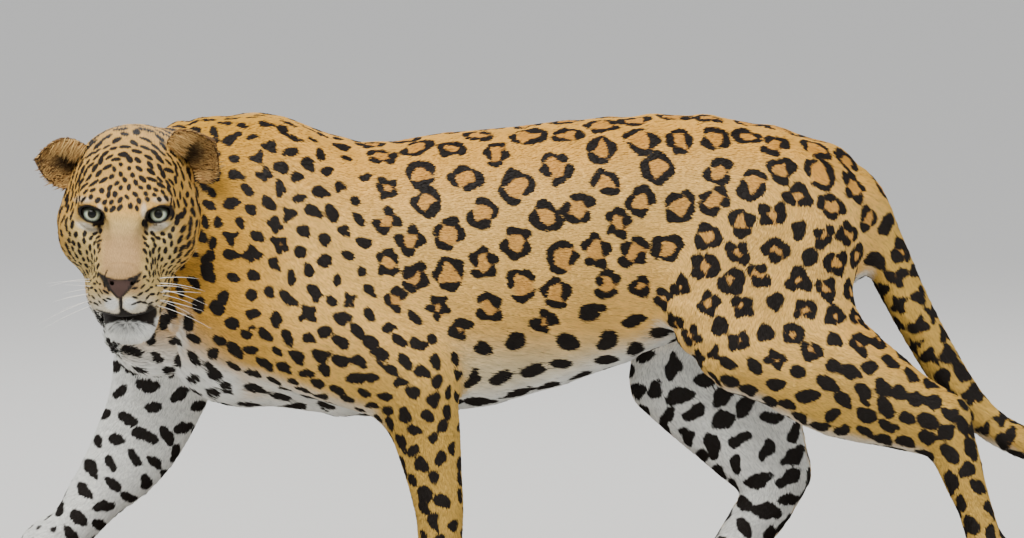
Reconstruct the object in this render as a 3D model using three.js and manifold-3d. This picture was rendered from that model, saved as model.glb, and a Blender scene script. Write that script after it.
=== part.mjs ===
// A life-size leopard as a museum model: walking to the left with its head
// turned to the viewer, on a plain base. Millimetres, +Z up. The left flank
// faces -Y. Heights in the tables are above the top of the base.
//
// The body is one smooth surface round a set of oval sweeps, which is then
// parted into head, neck, trunk, legs and tail.
import * as THREE from "three";
import { mergeVertices } from "three/addons/utils/BufferGeometryUtils.js";
import Module from "manifold-3d";

const wasm = await Module();
wasm.setup();

// Sizes that a user may want to change.
const gap = 0.45; // between neighbouring pieces
const base = { length: 1380, width: 430, height: 25, edge: 4 };
const eyeRadius = 16;
const eyePlace = [150, 44, 33]; // forward, to the side and up, on the head
const headPitch = 35; // degrees, nose down
const headYaw = 1.8; // degrees, nose towards -X
const headOrigin = new THREE.Vector3(-550.5, -75, 622);
const bodyTriangles = 3900;
const sliver = 0.18; // the most that tidying a cut piece moves its surface

// Colours of the materials.
const colours = {
  coat: 0xd8aa70,
  paleCoat: 0xd6cdbb,
  nose: 0x5c3f38,
  eye: 0xc3d2b4,
  ear: 0xa98652,
  base: 0x3a2c22,
};

const farAway = 1000; // stands for any distance beyond a shape's own box
const vec = (x, y, z) => new THREE.Vector3(x, y, z);
const { lerp, clamp, degToRad } = THREE.MathUtils;

// Catmull-Rom through rows of numbers, each span cut into the same steps.
function smoothRows(rows, steps) {
  const at = (i) => rows[clamp(i, 0, rows.length - 1)];
  const between = (i, t) =>
    rows[i].map((_, column) => {
      const [a, b, c, d] = [at(i - 1), at(i), at(i + 1), at(i + 2)].map((row) => row[column]);
      const cubic = 3 * b - a - 3 * c + d;
      return 0.5 * (2 * b + (c - a) * t + (2 * a - 5 * b + 4 * c - d) * t * t + cubic * t * t * t);
    });
  const result = [];
  for (let i = 0; i < rows.length - 1; i += 1) {
    for (let step = 0; step < steps; step += 1) {
      result.push(between(i, step / steps));
    }
  }
  result.push([...rows[rows.length - 1]]);
  return result;
}

// A sweep is an oval carried along a path. Each row is x, y, z, half the
// width along the side axis and half the height across it. The side axis is
// the given one, or lies level across the path when upright is true.
function sweep(name, rows, options = {}) {
  const settings = { steps: 2, egg: 0, power: 2, blend: 30, upright: false, ...options };
  const smooth = smoothRows(rows, settings.steps);
  const centres = smooth.map((row) => vec(row[0], row[1], row[2]));
  const box = new THREE.Box3();
  const sections = smooth.map((row, i) => {
    const before = centres[Math.max(i - 1, 0)];
    const after = centres[Math.min(i + 1, centres.length - 1)];
    const along = after.clone().sub(before).normalize();
    const side = settings.upright
      ? along.clone().cross(vec(0, 0, 1)).normalize()
      : (settings.side ?? vec(0, 1, 0)).clone();
    side.addScaledVector(along, -side.dot(along)).normalize();
    const up = side.clone().cross(along).normalize();
    const reach = 2 * Math.max(row[3], row[4]);
    box.union(new THREE.Box3().setFromCenterAndSize(centres[i], vec(reach, reach, reach)));
    return { centre: centres[i], along, side, up, width: row[3], height: row[4] };
  });
  return { name, sections, box: box.expandByScalar(settings.blend), ...settings };
}

// How far a point is outside an oval sweep, about in millimetres.
function distanceTo(shape, x, y, z) {
  const { sections, egg, power, box } = shape;
  const { min, max } = box;
  if (x < min.x || x > max.x || y < min.y || y > max.y || z < min.z || z > max.z) {
    return farAway;
  }
  let nearest = farAway;
  for (let i = 0; i < sections.length - 1; i += 1) {
    const a = sections[i];
    const b = sections[i + 1];
    const sx = b.centre.x - a.centre.x;
    const sy = b.centre.y - a.centre.y;
    const sz = b.centre.z - a.centre.z;
    const ox = x - a.centre.x;
    const oy = y - a.centre.y;
    const oz = z - a.centre.z;
    const t = clamp((ox * sx + oy * sy + oz * sz) / (sx * sx + sy * sy + sz * sz), 0, 1);
    const px = ox - sx * t;
    const py = oy - sy * t;
    const pz = oz - sz * t;
    const width = a.width + (b.width - a.width) * t;
    const height = a.height + (b.height - a.height) * t;
    const along = (axis) => px * axis.x + py * axis.y + pz * axis.z;
    const v = lerp(along(a.up), along(b.up), t) / height;
    const u = lerp(along(a.side), along(b.side), t) / (width * (1 - egg * clamp(v, -1, 1)));
    const w = lerp(along(a.along), along(b.along), t) / Math.min(width, height);
    const squarish = () => (Math.abs(u) ** power + Math.abs(v) ** power) ** (1 / power);
    const oval = power === 2 ? Math.hypot(u, v) : squarish();
    const ratio = Math.hypot(oval, w);
    const length = Math.hypot(px, py, pz);
    const outside = ratio > 1e-3 ? (length * (ratio - 1)) / ratio : -Math.min(width, height);
    nearest = Math.min(nearest, outside);
  }
  return nearest;
}

// Smooth minimum, which fills the crease where two shapes meet.
function blended(a, b, reach) {
  const overlap = Math.max(reach - Math.abs(a - b), 0) / reach;
  return Math.min(a, b) - (overlap * overlap * reach) / 4;
}

// Trunk, neck and tail.
// Rows: x, top, bottom, half width.
const trunkRows = [
  [-544, 402, 342, 30],
  [-532, 450, 320, 56],
  [-508, 548, 303, 86],
  [-472, 646, 291, 110],
  [-430, 675, 285, 124],
  [-380, 674, 282, 127],
  [-324, 658, 279, 128],
  [-268, 643, 270, 127],
  [-190, 644, 270, 126],
  [-108, 658, 281, 126],
  [-30, 665, 303, 127],
  [50, 675, 331, 125],
  [105, 680, 355, 120],
  [160, 683, 382, 112],
  [215, 681, 403, 107],
  [285, 668, 420, 100],
  [345, 645, 432, 88],
  [392, 612, 446, 68],
  [420, 578, 470, 40],
].map(([x, top, bottom, width]) => [x, 0, (top + bottom) / 2, width, (top - bottom) / 2]);

const trunk = sweep("trunk", trunkRows, { steps: 1, egg: 0.12, power: 2.15, blend: 50 });

// Rows from here on: x, y, z, half width, half height.
const neck = sweep(
  "neck",
  [
    [-385, 0, 520, 112, 140],
    [-446, -8, 542, 102, 126],
    [-494, -30, 566, 88, 98],
    [-528, -62, 578, 76, 80],
    [-548, -98, 576, 70, 68],
  ],
  { upright: true, blend: 34 },
);

const tail = sweep(
  "tail",
  [
    [380, 0, 602, 32, 34],
    [418, 0, 560, 33, 36],
    [446, 0, 511, 33, 36],
    [477, 0, 447, 31, 32],
    [507, 2, 389, 29, 30],
    [547, 6, 321, 27, 28],
    [587, 12, 270, 25, 25],
    [632, 19, 240, 24, 24],
    [690, 28, 219, 24, 24],
    [750, 36, 221, 23, 23],
    [806, 42, 245, 22, 22],
    [846, 45, 289, 20, 20],
    [864, 45, 336, 15, 15],
    [866, 45, 350, 9, 9],
  ],
  { blend: 22 },
);

// Legs.
// The left legs are the near ones, at -Y. Half width is along Y here, and
// half height is from front to back.
const leftFore = [
  sweep(
    "shoulder",
    [
      [-372, -44, 640, 24, 52],
      [-370, -66, 596, 40, 80],
      [-350, -80, 525, 50, 100],
      [-305, -90, 445, 52, 100],
      [-240, -95, 385, 51, 84],
      [-186, -96, 345, 49, 66],
      [-168, -94, 300, 45, 57],
      [-157, -92, 250, 40, 50],
      [-148, -90, 200, 34, 43],
      [-142, -88, 160, 31, 39],
      [-140, -87, 128, 30, 36],
      [-141, -86, 95, 32, 35],
      [-148, -86, 62, 34, 35],
      [-156, -86, 40, 34, 32],
    ],
    { blend: 45 },
  ),
  sweep(
    "upperArm",
    [
      [-470, -70, 445, 34, 46],
      [-410, -84, 418, 46, 66],
      [-320, -92, 385, 49, 68],
      [-235, -95, 350, 47, 62],
      [-185, -95, 325, 42, 52],
    ],
    { blend: 45 },
  ),
];

const rightFore = [
  sweep(
    "shoulder",
    [
      [-372, 44, 640, 24, 52],
      [-390, 66, 592, 40, 76],
      [-428, 82, 510, 50, 90],
      [-476, 92, 425, 52, 86],
      [-504, 94, 355, 50, 80],
      [-519, 92, 302, 46, 71],
      [-534, 90, 262, 43, 65],
      [-552, 88, 228, 40, 61],
      [-574, 87, 194, 37, 54],
      [-598, 86, 166, 34, 45],
      [-614, 85, 146, 34, 40],
      [-628, 85, 126, 35, 36],
      [-640, 85, 110, 35, 32],
    ],
    { blend: 45 },
  ),
];

const leftHind = [
  sweep(
    "thigh",
    [
      [340, -44, 600, 32, 50],
      [312, -62, 545, 46, 92],
      [278, -76, 475, 52, 116],
      [252, -86, 414, 49, 98],
      [252, -92, 374, 42, 58],
      [266, -94, 358, 36, 42],
    ],
    { blend: 50 },
  ),
  sweep(
    "shank",
    [
      [268, -92, 360, 40, 46],
      [328, -94, 346, 46, 64],
      [405, -92, 320, 44, 74],
      [480, -91, 284, 37, 53],
      [526, -90, 262, 32, 42],
      [548, -90, 232, 30, 35],
      [562, -90, 192, 28, 30],
      [575, -90, 158, 28, 26],
      [586, -91, 122, 30, 26],
      [598, -92, 88, 33, 28],
      [608, -92, 62, 33, 25],
    ],
    { blend: 40 },
  ),
  sweep(
    "hamstring",
    [
      [370, -50, 552, 30, 42],
      [358, -68, 480, 42, 48],
      [366, -80, 410, 44, 52],
      [404, -87, 352, 40, 46],
      [480, -90, 304, 26, 30],
      [540, -90, 284, 18, 21],
    ],
    { blend: 45 },
  ),
];

const rightHind = [
  sweep(
    "thigh",
    [
      [340, 44, 600, 32, 50],
      [308, 62, 545, 46, 92],
      [262, 78, 468, 52, 114],
      [212, 90, 392, 49, 94],
      [182, 95, 335, 43, 70],
      [172, 96, 306, 38, 52],
    ],
    { blend: 50 },
  ),
  sweep(
    "shank",
    [
      [166, 96, 318, 42, 58],
      [203, 96, 292, 45, 68],
      [240, 96, 256, 42, 65],
      [274, 95, 219, 37, 58],
      [304, 94, 180, 32, 48],
      [302, 93, 148, 32, 42],
      [286, 92, 122, 31, 39],
      [268, 91, 98, 32, 36],
      [248, 90, 66, 34, 34],
      [234, 90, 44, 34, 31],
    ],
    { blend: 40 },
  ),
  sweep(
    "hamstring",
    [
      [370, 50, 552, 30, 42],
      [352, 68, 480, 42, 52],
      [330, 82, 400, 44, 62],
      [308, 90, 325, 42, 58],
      [314, 93, 260, 30, 38],
      [332, 94, 212, 20, 22],
      [338, 94, 188, 18, 18],
    ],
    { blend: 45 },
  ),
];

// A paw's palm and toes in a frame of its own: forward, to the side and up,
// from the middle of the palm on the ground.
function pawShapes(origin, forward, up, scale) {
  const ahead = forward.clone().normalize();
  const above = up.clone().addScaledVector(ahead, -up.dot(ahead)).normalize();
  const side = above.clone().cross(ahead);
  const place = ([f, s, h, width, height]) => {
    const point = origin
      .clone()
      .addScaledVector(ahead, f * scale)
      .addScaledVector(side, s * scale)
      .addScaledVector(above, h * scale);
    return [point.x, point.y, point.z, width * scale, height * scale];
  };
  const make = (name, rows) => sweep(name, rows.map(place), { side, blend: name === "toe" ? 6 : 16 });
  const palm = make("palm", [
    [-34, 0, 24, 24, 20],
    [-16, 0, 28, 34, 28],
    [8, 0, 32, 39, 33],
    [32, 0, 28, 40, 29],
    [46, 0, 24, 34, 22],
  ]);
  const toes = [-1.5, -0.5, 0.5, 1.5].map((step) => {
    const reach = Math.abs(step) > 1 ? 0 : 10;
    const s = step * 20.5;
    return make("toe", [
      [20, s * 0.9, 30, 11, 16],
      [40 + reach * 0.5, s, 30, 13, 20],
      [58 + reach, s * 1.04, 23, 14, 21],
      [70 + reach, s * 1.04, 15, 11, 14],
    ]);
  });
  return [palm, ...toes];
}

const pawSets = [
  pawShapes(vec(-160, -87, 0), vec(-1, -0.06, 0), vec(0, 0, 1), 1),
  pawShapes(vec(-650, 86, 76), vec(-0.55, 0, -0.84), vec(-0.84, 0, 0.55), 1),
  pawShapes(vec(592, -92, 66), vec(0.36, -0.02, -0.93), vec(0.93, 0, 0.36), 0.94),
  pawShapes(vec(216, 90, 0), vec(-1, 0.05, 0), vec(0, 0, 1), 0.96),
];

// Head.
// The head's own axes: forward to the nose, to its left ear, and up.
const headTurn = new THREE.Quaternion().setFromEuler(
  new THREE.Euler(degToRad(headPitch), 0, degToRad(-headYaw), "ZYX"),
);
const headForward = vec(0, -1, 0).applyQuaternion(headTurn);
const headSide = vec(1, 0, 0).applyQuaternion(headTurn);
const headUp = vec(0, 0, 1).applyQuaternion(headTurn);
const onHead = (s, w, h) =>
  headOrigin
    .clone()
    .addScaledVector(headForward, s)
    .addScaledVector(headSide, w)
    .addScaledVector(headUp, h);

// Rows: distance forward, top, bottom, half width. The whole may sit aside.
function headSweep(name, rows, { aside = 0, ...options } = {}) {
  const placed = rows.map(([s, top, bottom, width]) => {
    const point = onHead(s, aside, (top + bottom) / 2);
    return [point.x, point.y, point.z, width, (top - bottom) / 2];
  });
  return sweep(name, placed, { side: headSide, ...options });
}

// An oval lump on the head, as a short sweep along its forward axis.
function lump(name, s, w, h, length, width, height, options) {
  const rows = [-0.9, -0.45, 0, 0.45, 0.9].map((t) => {
    const point = onHead(s + t * length, w, h);
    const round = Math.sqrt(1 - t * t);
    return [point.x, point.y, point.z, width * round, height * round];
  });
  return sweep(name, rows, { side: headSide, blend: 14, steps: 1, ...options });
}

const onBothSides = (make) => [make(1), make(-1)];

const skull = headSweep(
  "skull",
  [
    [-10, 30, -50, 56],
    [12, 54, -76, 74],
    [40, 73, -90, 84],
    [76, 82, -94, 87],
    [106, 78, -90, 88],
    [128, 67, -80, 83],
    [146, 53, -70, 70],
    [161, 41, -62, 56],
    [174, 32, -54, 42],
  ],
  { blend: 32 },
);

const muzzle = headSweep(
  "muzzle",
  [
    [138, 44, -60, 44],
    [166, 44, -62, 42],
    [192, 35, -62, 42],
    [216, 25, -64, 42],
    [236, 18, -62, 38],
    [249, 11, -57, 30],
    [256, 4, -49, 20],
  ],
  { power: 2.5, blend: 16 },
);

const jaw = headSweep(
  "jaw",
  [
    [56, -50, -98, 56],
    [100, -54, -106, 55],
    [146, -60, -112, 48],
    [186, -66, -117, 42],
    [216, -70, -119, 37],
    [234, -71, -116, 31],
    [244, -76, -108, 21],
  ],
  { power: 2.3, blend: 16, aside: 5 },
);

const headShapes = [
  skull,
  muzzle,
  jaw,
  ...onBothSides((side) => lump("cheek", 112, 52 * side, -22, 50, 38, 48, { blend: 30 })),
  ...onBothSides((side) => lump("jowl", 160, 36 * side, -70, 40, 22, 34, { blend: 22 })),
  ...onBothSides((side) => lump("brow", 140, 38 * side, 52, 26, 25, 14)),
  ...onBothSides((side) => lump("whiskerPad", 222, 25 * side, -38, 33, 27, 25)),
];

// The nose pad narrows from the nostrils down to the lip.
const nosePad = sweep(
  "nose",
  [
    [14, 20, 247],
    [8, 26, 251],
    [-2, 25, 254],
    [-12, 16, 255],
    [-22, 8, 253],
    [-31, 5, 249],
  ].map(([h, width, s]) => {
    const point = onHead(s, 0, h);
    return [point.x, point.y, point.z, width, 9];
  }),
  { side: headSide, power: 2.4, steps: 1 },
);

// The smooth body.
const fleshShapes = [
  trunk,
  neck,
  tail,
  ...leftFore,
  ...rightFore,
  ...leftHind,
  ...rightHind,
  ...pawSets.flat(),
  ...headShapes,
];

// The mouth stands a little open: a flat wedge from the lips to the corner.
const mouth = headSweep(
  "mouth",
  [
    [196, -67, -70, 44],
    [222, -65, -73, 50],
    [266, -61, -76, 54],
  ],
  { power: 3 },
);

// Each eye sits in a shallow hollow under the brow.
const orbits = onBothSides((side) => lump("orbit", 171, 45 * side, 30, 16, 19, 15, { blend: 12 }));

function outsideBody(x, y, z) {
  let distance = farAway;
  for (const shape of fleshShapes) {
    const next = distanceTo(shape, x, y, z);
    if (next < farAway) {
      distance = distance < farAway ? blended(distance, next, shape.blend) : next;
    }
  }
  for (const hollow of orbits) {
    distance = -blended(-distance, distanceTo(hollow, x, y, z), hollow.blend);
  }
  return Math.max(distance, -distanceTo(mouth, x, y, z));
}

// Grid lines whose spacing changes at given places: [from, spacing] rows.
function gridLines(to, ...spans) {
  const lines = [spans[0][0]];
  while (lines[lines.length - 1] < to) {
    const last = lines[lines.length - 1];
    const [, spacing] = spans.findLast(([from]) => last >= from);
    lines.push(last + spacing);
  }
  return lines;
}

// Moves a point onto the surface where a function is zero.
function settled(outside, start) {
  let point = start;
  for (let turn = 0; turn < 2; turn += 1) {
    const here = outside(...point);
    const slope = point.map((_, axis) => {
      const ahead = point.map((value, i) => value + (i === axis ? 1 : 0));
      return outside(...ahead) - here;
    });
    const steepness = slope.reduce((sum, value) => sum + value * value, 1e-3);
    const move = clamp(here / steepness, -4, 4);
    point = point.map((value, i) => value - slope[i] * move);
  }
  return point;
}

// The surface where a function is zero, from cubes cut into six tetrahedra.
function surfaceOf(outside, xs, ys, zs) {
  const [nx, ny, nz] = [xs.length, ys.length, zs.length];
  const id = (i, j, k) => (i * ny + j) * nz + k;
  const values = new Float64Array(nx * ny * nz);
  for (let i = 0; i < nx; i += 1) {
    for (let j = 0; j < ny; j += 1) {
      for (let k = 0; k < nz; k += 1) {
        const value = outside(xs[i], ys[j], zs[k]);
        values[id(i, j, k)] = Math.abs(value) < 0.4 ? (value < 0 ? -0.4 : 0.4) : value;
      }
    }
  }
  const points = [];
  const faces = [];
  const made = new Map();
  const place = (node) => {
    const k = node % nz;
    const j = Math.floor(node / nz) % ny;
    return [xs[Math.floor(node / (nz * ny))], ys[j], zs[k]];
  };
  const crossing = (a, b) => {
    const [low, high] = a < b ? [a, b] : [b, a];
    const key = low * values.length + high;
    if (!made.has(key)) {
      const t = values[low] / (values[low] - values[high]);
      const [p, q] = [place(low), place(high)];
      points.push(p.map((start, axis) => lerp(start, q[axis], t)));
      made.set(key, points.length - 1);
    }
    return made.get(key);
  };
  // Each path from the cube's first corner to its last, one axis at a time.
  const paths = [[0, 1], [1, 2], [2, 0], [0, 2], [1, 0], [2, 1]];
  const strides = [ny * nz, nz, 1];
  const centre = (corners) => {
    const spots = corners.map(place);
    return [0, 1, 2].map((axis) => spots.reduce((sum, spot) => sum + spot[axis], 0) / spots.length);
  };
  const tetrahedron = (corners) => {
    const inside = corners.filter((corner) => values[corner] < 0);
    const out = corners.filter((corner) => values[corner] >= 0);
    if (inside.length === 0 || out.length === 0) {
      return;
    }
    const loop =
      inside.length === 2
        ? [[0, 0], [0, 1], [1, 1], [1, 0]].map(([i, o]) => crossing(inside[i], out[o]))
        : inside.flatMap((i) => out.map((o) => crossing(i, o)));
    const [p, q, r] = loop.map((point) => points[point]);
    const outwards = vec(...centre(out)).sub(vec(...centre(inside)));
    const normal = vec(...q).sub(vec(...p)).cross(vec(...r).sub(vec(...p)));
    if (normal.dot(outwards) < 0) {
      loop.reverse();
    }
    for (let i = 2; i < loop.length; i += 1) {
      faces.push([loop[0], loop[i - 1], loop[i]]);
    }
  };
  for (let i = 0; i < nx - 1; i += 1) {
    for (let j = 0; j < ny - 1; j += 1) {
      for (let k = 0; k < nz - 1; k += 1) {
        const first = id(i, j, k);
        const last = id(i + 1, j + 1, k + 1);
        let low = 0;
        for (const corner of [first, first + 1, first + nz, first + nz + 1]) {
          low += (values[corner] < 0) + (values[corner + strides[0]] < 0);
        }
        if (low > 0 && low < 8) {
          paths.forEach(([one, two]) => {
            const second = first + strides[one];
            tetrahedron([first, second, second + strides[two], last]);
          });
        }
      }
    }
  }
  return { points, faces };
}

// Fewer triangles.
// Joins the ends of the edges whose loss changes the surface least, by the
// squared distance to the planes of the faces that met there, each with a
// weight, down to the wanted number of faces or to the limit of that error.
function simplified({ points, faces }, { wanted = 0, limit = Infinity, weigh = () => 1 }) {
  const quadrics = points.map(() => new Float64Array(10));
  const around = points.map(() => new Set());
  const corner = faces.map((face) => [...face]);
  const sub = (a, b) => [a[0] - b[0], a[1] - b[1], a[2] - b[2]];
  const cross = (a, b) => [
    a[1] * b[2] - a[2] * b[1],
    a[2] * b[0] - a[0] * b[2],
    a[0] * b[1] - a[1] * b[0],
  ];
  const dot = (a, b) => a[0] * b[0] + a[1] * b[1] + a[2] * b[2];
  corner.forEach((face, index) => {
    const [a, b, c] = face.map((point) => points[point]);
    const normal = cross(sub(b, a), sub(c, a));
    const size = Math.hypot(...normal) || 1e-12;
    const [x, y, z] = normal.map((part) => part / size);
    const d = -dot([x, y, z], a);
    const weight = weigh(size, a);
    const terms = [x * x, x * y, x * z, x * d, y * y, y * z, y * d, z * z, z * d, d * d];
    face.forEach((point) => {
      around[point].add(index);
      terms.forEach((term, i) => {
        quadrics[point][i] += term * weight;
      });
    });
  });
  const errorAt = (q, [x, y, z]) =>
    q[0] * x * x + 2 * q[1] * x * y + 2 * q[2] * x * z + 2 * q[3] * x + q[4] * y * y +
    2 * q[5] * y * z + 2 * q[6] * y + q[7] * z * z + 2 * q[8] * z + q[9];
  // The place of least error, found by Cramer's rule, or the best of three.
  const bestPlace = (q, a, b) => {
    const rows = [[q[0], q[1], q[2]], [q[1], q[4], q[5]], [q[2], q[5], q[7]]];
    const right = [-q[3], -q[6], -q[8]];
    const determinant = dot(rows[0], cross(rows[1], rows[2]));
    const middle = a.map((value, i) => (value + b[i]) / 2);
    const length = Math.hypot(...sub(a, b));
    if (Math.abs(determinant) > 1e-6 * (q[0] + q[4] + q[7]) ** 3) {
      const solved = [0, 1, 2].map((column) => {
        const replaced = rows.map((row, i) => row.map((value, j) => (j === column ? right[i] : value)));
        return dot(replaced[0], cross(replaced[1], replaced[2])) / determinant;
      });
      if (Math.hypot(...sub(solved, middle)) < length) {
        return solved;
      }
    }
    const options = [a, b, middle];
    const errors = options.map((option) => errorAt(q, option));
    return options[errors.indexOf(Math.min(...errors))];
  };
  const heap = [];
  const swap = (i, j) => {
    [heap[i], heap[j]] = [heap[j], heap[i]];
  };
  const push = (item) => {
    heap.push(item);
    let i = heap.length - 1;
    while (i > 0 && heap[(i - 1) >> 1].cost > heap[i].cost) {
      swap(i, (i - 1) >> 1);
      i = (i - 1) >> 1;
    }
  };
  const pop = () => {
    const top = heap[0];
    const end = heap.pop();
    if (heap.length > 0) {
      heap[0] = end;
      let i = 0;
      for (;;) {
        const left = 2 * i + 1;
        const right = left + 1;
        let least = i;
        if (left < heap.length && heap[left].cost < heap[least].cost) {
          least = left;
        }
        if (right < heap.length && heap[right].cost < heap[least].cost) {
          least = right;
        }
        if (least === i) {
          break;
        }
        swap(i, least);
        i = least;
      }
    }
    return top;
  };
  const age = new Int32Array(points.length);
  const offer = (a, b) => {
    const q = quadrics[a].map((value, i) => value + quadrics[b][i]);
    const spot = bestPlace(q, points[a], points[b]);
    const length = Math.hypot(...sub(points[a], points[b]));
    const error = errorAt(q, spot);
    if (error < limit) {
      push({ cost: error + length * length * 0.002, a, b, spot, q, stamp: age[a] + age[b] });
    }
  };
  const neighbours = (point) => {
    const found = new Set();
    around[point].forEach((face) => corner[face].forEach((other) => found.add(other)));
    found.delete(point);
    return found;
  };
  points.forEach((_, a) => neighbours(a).forEach((b) => b > a && offer(a, b)));
  let count = corner.length;
  const flips = (point, gone, spot) => {
    for (const face of around[point]) {
      if (!corner[face].includes(gone)) {
        const before = corner[face].map((other) => points[other]);
        const after = corner[face].map((other) => (other === point ? spot : points[other]));
        const was = cross(sub(before[1], before[0]), sub(before[2], before[0]));
        const now = cross(sub(after[1], after[0]), sub(after[2], after[0]));
        if (dot(was, now) < 0.3 * Math.hypot(...was) * Math.hypot(...now) || Math.hypot(...now) < 1) {
          return true;
        }
      }
    }
    return false;
  };
  while (count > wanted && heap.length > 0) {
    const { a, b, spot, q, stamp } = pop();
    if (around[a].size === 0 || around[b].size === 0 || age[a] + age[b] !== stamp) {
      continue;
    }
    const near = neighbours(b);
    const shared = [...neighbours(a)].filter((point) => near.has(point));
    if (!near.has(a) || shared.length !== 2 || flips(a, b, spot) || flips(b, a, spot)) {
      continue;
    }
    for (const face of around[b]) {
      if (corner[face].includes(a)) {
        corner[face].forEach((point) => point !== b && around[point].delete(face));
        corner[face] = null;
        count -= 1;
      } else {
        corner[face] = corner[face].map((point) => (point === b ? a : point));
        around[a].add(face);
      }
    }
    around[b].clear();
    points[a] = spot;
    quadrics[a] = q;
    age[a] += 1;
    age[b] += 1;
    neighbours(a).forEach((point) => offer(a, point));
  }
  return { points, faces: corner.filter((face) => face) };
}

// Solids.
function closedGeometry(points, faces) {
  const geometry = new THREE.BufferGeometry();
  geometry.setAttribute("position", new THREE.Float32BufferAttribute(points.flat(), 3));
  geometry.setIndex(faces.flat());
  return geometry;
}

// The solid of a closed geometry, turned outwards if it faces in.
function solidOf(geometry, matrix) {
  const copy = geometry.clone();
  copy.deleteAttribute("normal");
  copy.deleteAttribute("uv");
  if (matrix) {
    copy.applyMatrix4(matrix);
  }
  const merged = mergeVertices(copy, 1e-4);
  const positions = Float32Array.from(merged.attributes.position.array);
  const corners = Uint32Array.from(merged.index.array);
  let volume = 0;
  const corner = [vec(0, 0, 0), vec(0, 0, 0), vec(0, 0, 0)];
  for (let i = 0; i < corners.length; i += 3) {
    corner.forEach((point, k) => point.fromArray(positions, corners[i + k] * 3));
    volume += corner[0].dot(corner[1].clone().cross(corner[2]));
  }
  if (volume < 0) {
    for (let i = 0; i < corners.length; i += 3) {
      [corners[i], corners[i + 1]] = [corners[i + 1], corners[i]];
    }
  }
  return new wasm.Manifold(new wasm.Mesh({ numProp: 3, vertProperties: positions, triVerts: corners }));
}

// A closed geometry from rings of the same number of points and two poles.
function closedRings(rings, firstPole, lastPole) {
  const sides = rings[0].length;
  const points = [...rings.flat(), firstPole, lastPole].map((point) => point.toArray());
  const faces = [];
  for (let row = 0; row < rings.length - 1; row += 1) {
    for (let i = 0; i < sides; i += 1) {
      const a = row * sides + i;
      const b = row * sides + ((i + 1) % sides);
      faces.push([a, b, a + sides], [b, b + sides, a + sides]);
    }
  }
  const last = (rings.length - 1) * sides;
  for (let i = 0; i < sides; i += 1) {
    const next = (i + 1) % sides;
    faces.push([next, i, points.length - 2], [last + i, last + next, points.length - 1]);
  }
  return closedGeometry(points, faces);
}

// A sweep by itself as a solid, grown all round by the given amount.
function sweepSolid(shape, sides, grow) {
  const rings = shape.sections.map((section) => {
    const ring = [];
    for (let i = 0; i < sides; i += 1) {
      const angle = (2 * Math.PI * i) / sides;
      const bend = (value) => Math.sign(value) * Math.abs(value) ** (2 / shape.power);
      ring.push(
        section.centre
          .clone()
          .addScaledVector(section.side, (section.width + grow) * bend(Math.cos(angle)))
          .addScaledVector(section.up, (section.height + grow) * bend(Math.sin(angle))),
      );
    }
    return ring;
  });
  const first = shape.sections[0];
  const last = shape.sections[shape.sections.length - 1];
  const cap = (section) => 0.45 * Math.min(section.width, section.height) + grow;
  return solidOf(
    closedRings(
      rings,
      first.centre.clone().addScaledVector(first.along, -cap(first)),
      last.centre.clone().addScaledVector(last.along, cap(last)),
    ),
  );
}

const joined = (solids) => solids.reduce((sum, solid) => sum.add(solid));

// The biggest body of a solid, without crumbs that a cut left.
function mainBody(solid) {
  const bodies = solid.decompose();
  return bodies.reduce((best, body) => (body.volume() > best.volume() ? body : best));
}

// A solid without the slivers that cuts leave along their edges.
function tidied(solid) {
  const { vertProperties, triVerts, numProp } = solid.getMesh();
  const points = [];
  for (let i = 0; i < vertProperties.length; i += numProp) {
    points.push([...vertProperties.slice(i, i + 3)]);
  }
  const faces = [];
  for (let i = 0; i < triVerts.length; i += 3) {
    faces.push([...triVerts.slice(i, i + 3)]);
  }
  const fewer = simplified({ points, faces }, { limit: sliver ** 2 });
  return solidOf(closedGeometry(fewer.points, fewer.faces));
}

// Everything on the side of a plane that its normal points to.
function halfSpace(point, normal) {
  const size = 4000;
  const block = new THREE.BoxGeometry(size, size, size).translate(0, 0, size / 2);
  const turn = new THREE.Quaternion().setFromUnitVectors(vec(0, 0, 1), normal.clone().normalize());
  return solidOf(block, new THREE.Matrix4().compose(point, turn, vec(1, 1, 1)));
}

// Parts a solid by a plane, with half the gap taken from each side.
function parted(solid, point, normal) {
  const unit = normal.clone().normalize();
  const ahead = halfSpace(point.clone().addScaledVector(unit, gap / 2), unit);
  const behind = halfSpace(point.clone().addScaledVector(unit, -gap / 2), unit.clone().negate());
  return [mainBody(solid.intersect(ahead)), mainBody(solid.intersect(behind))];
}

// A block with a smooth outline in side view, from a depth outwards. The
// outline is a loop of x, z points and can be grown.
function legBlock(outline, from, to, grow) {
  const curve = new THREE.CatmullRomCurve3(outline.map(([x, z]) => vec(x, z, 0)), true);
  const loop = curve.getPoints(outline.length * 2).slice(0, -1);
  const area = loop.reduce((sum, p, i) => {
    const q = loop[(i + 1) % loop.length];
    return sum + p.x * q.y - q.x * p.y;
  }, 0);
  const grown = loop.map((p, i) => {
    const before = loop[(i + loop.length - 1) % loop.length];
    const after = loop[(i + 1) % loop.length];
    const run = after.clone().sub(before).normalize();
    const out = vec(run.y, -run.x, 0).multiplyScalar(Math.sign(area) * grow);
    return new THREE.Vector2(p.x + out.x, p.y + out.y);
  });
  const [near, far] = from < to ? [from - grow, to] : [to, from + grow];
  const settings = { depth: far - near, bevelEnabled: false };
  const block = new THREE.ExtrudeGeometry(new THREE.Shape(grown), settings);
  const turn = new THREE.Matrix4().makeRotationX(Math.PI / 2);
  return solidOf(block, turn.setPosition(0, far, 0));
}

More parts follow.
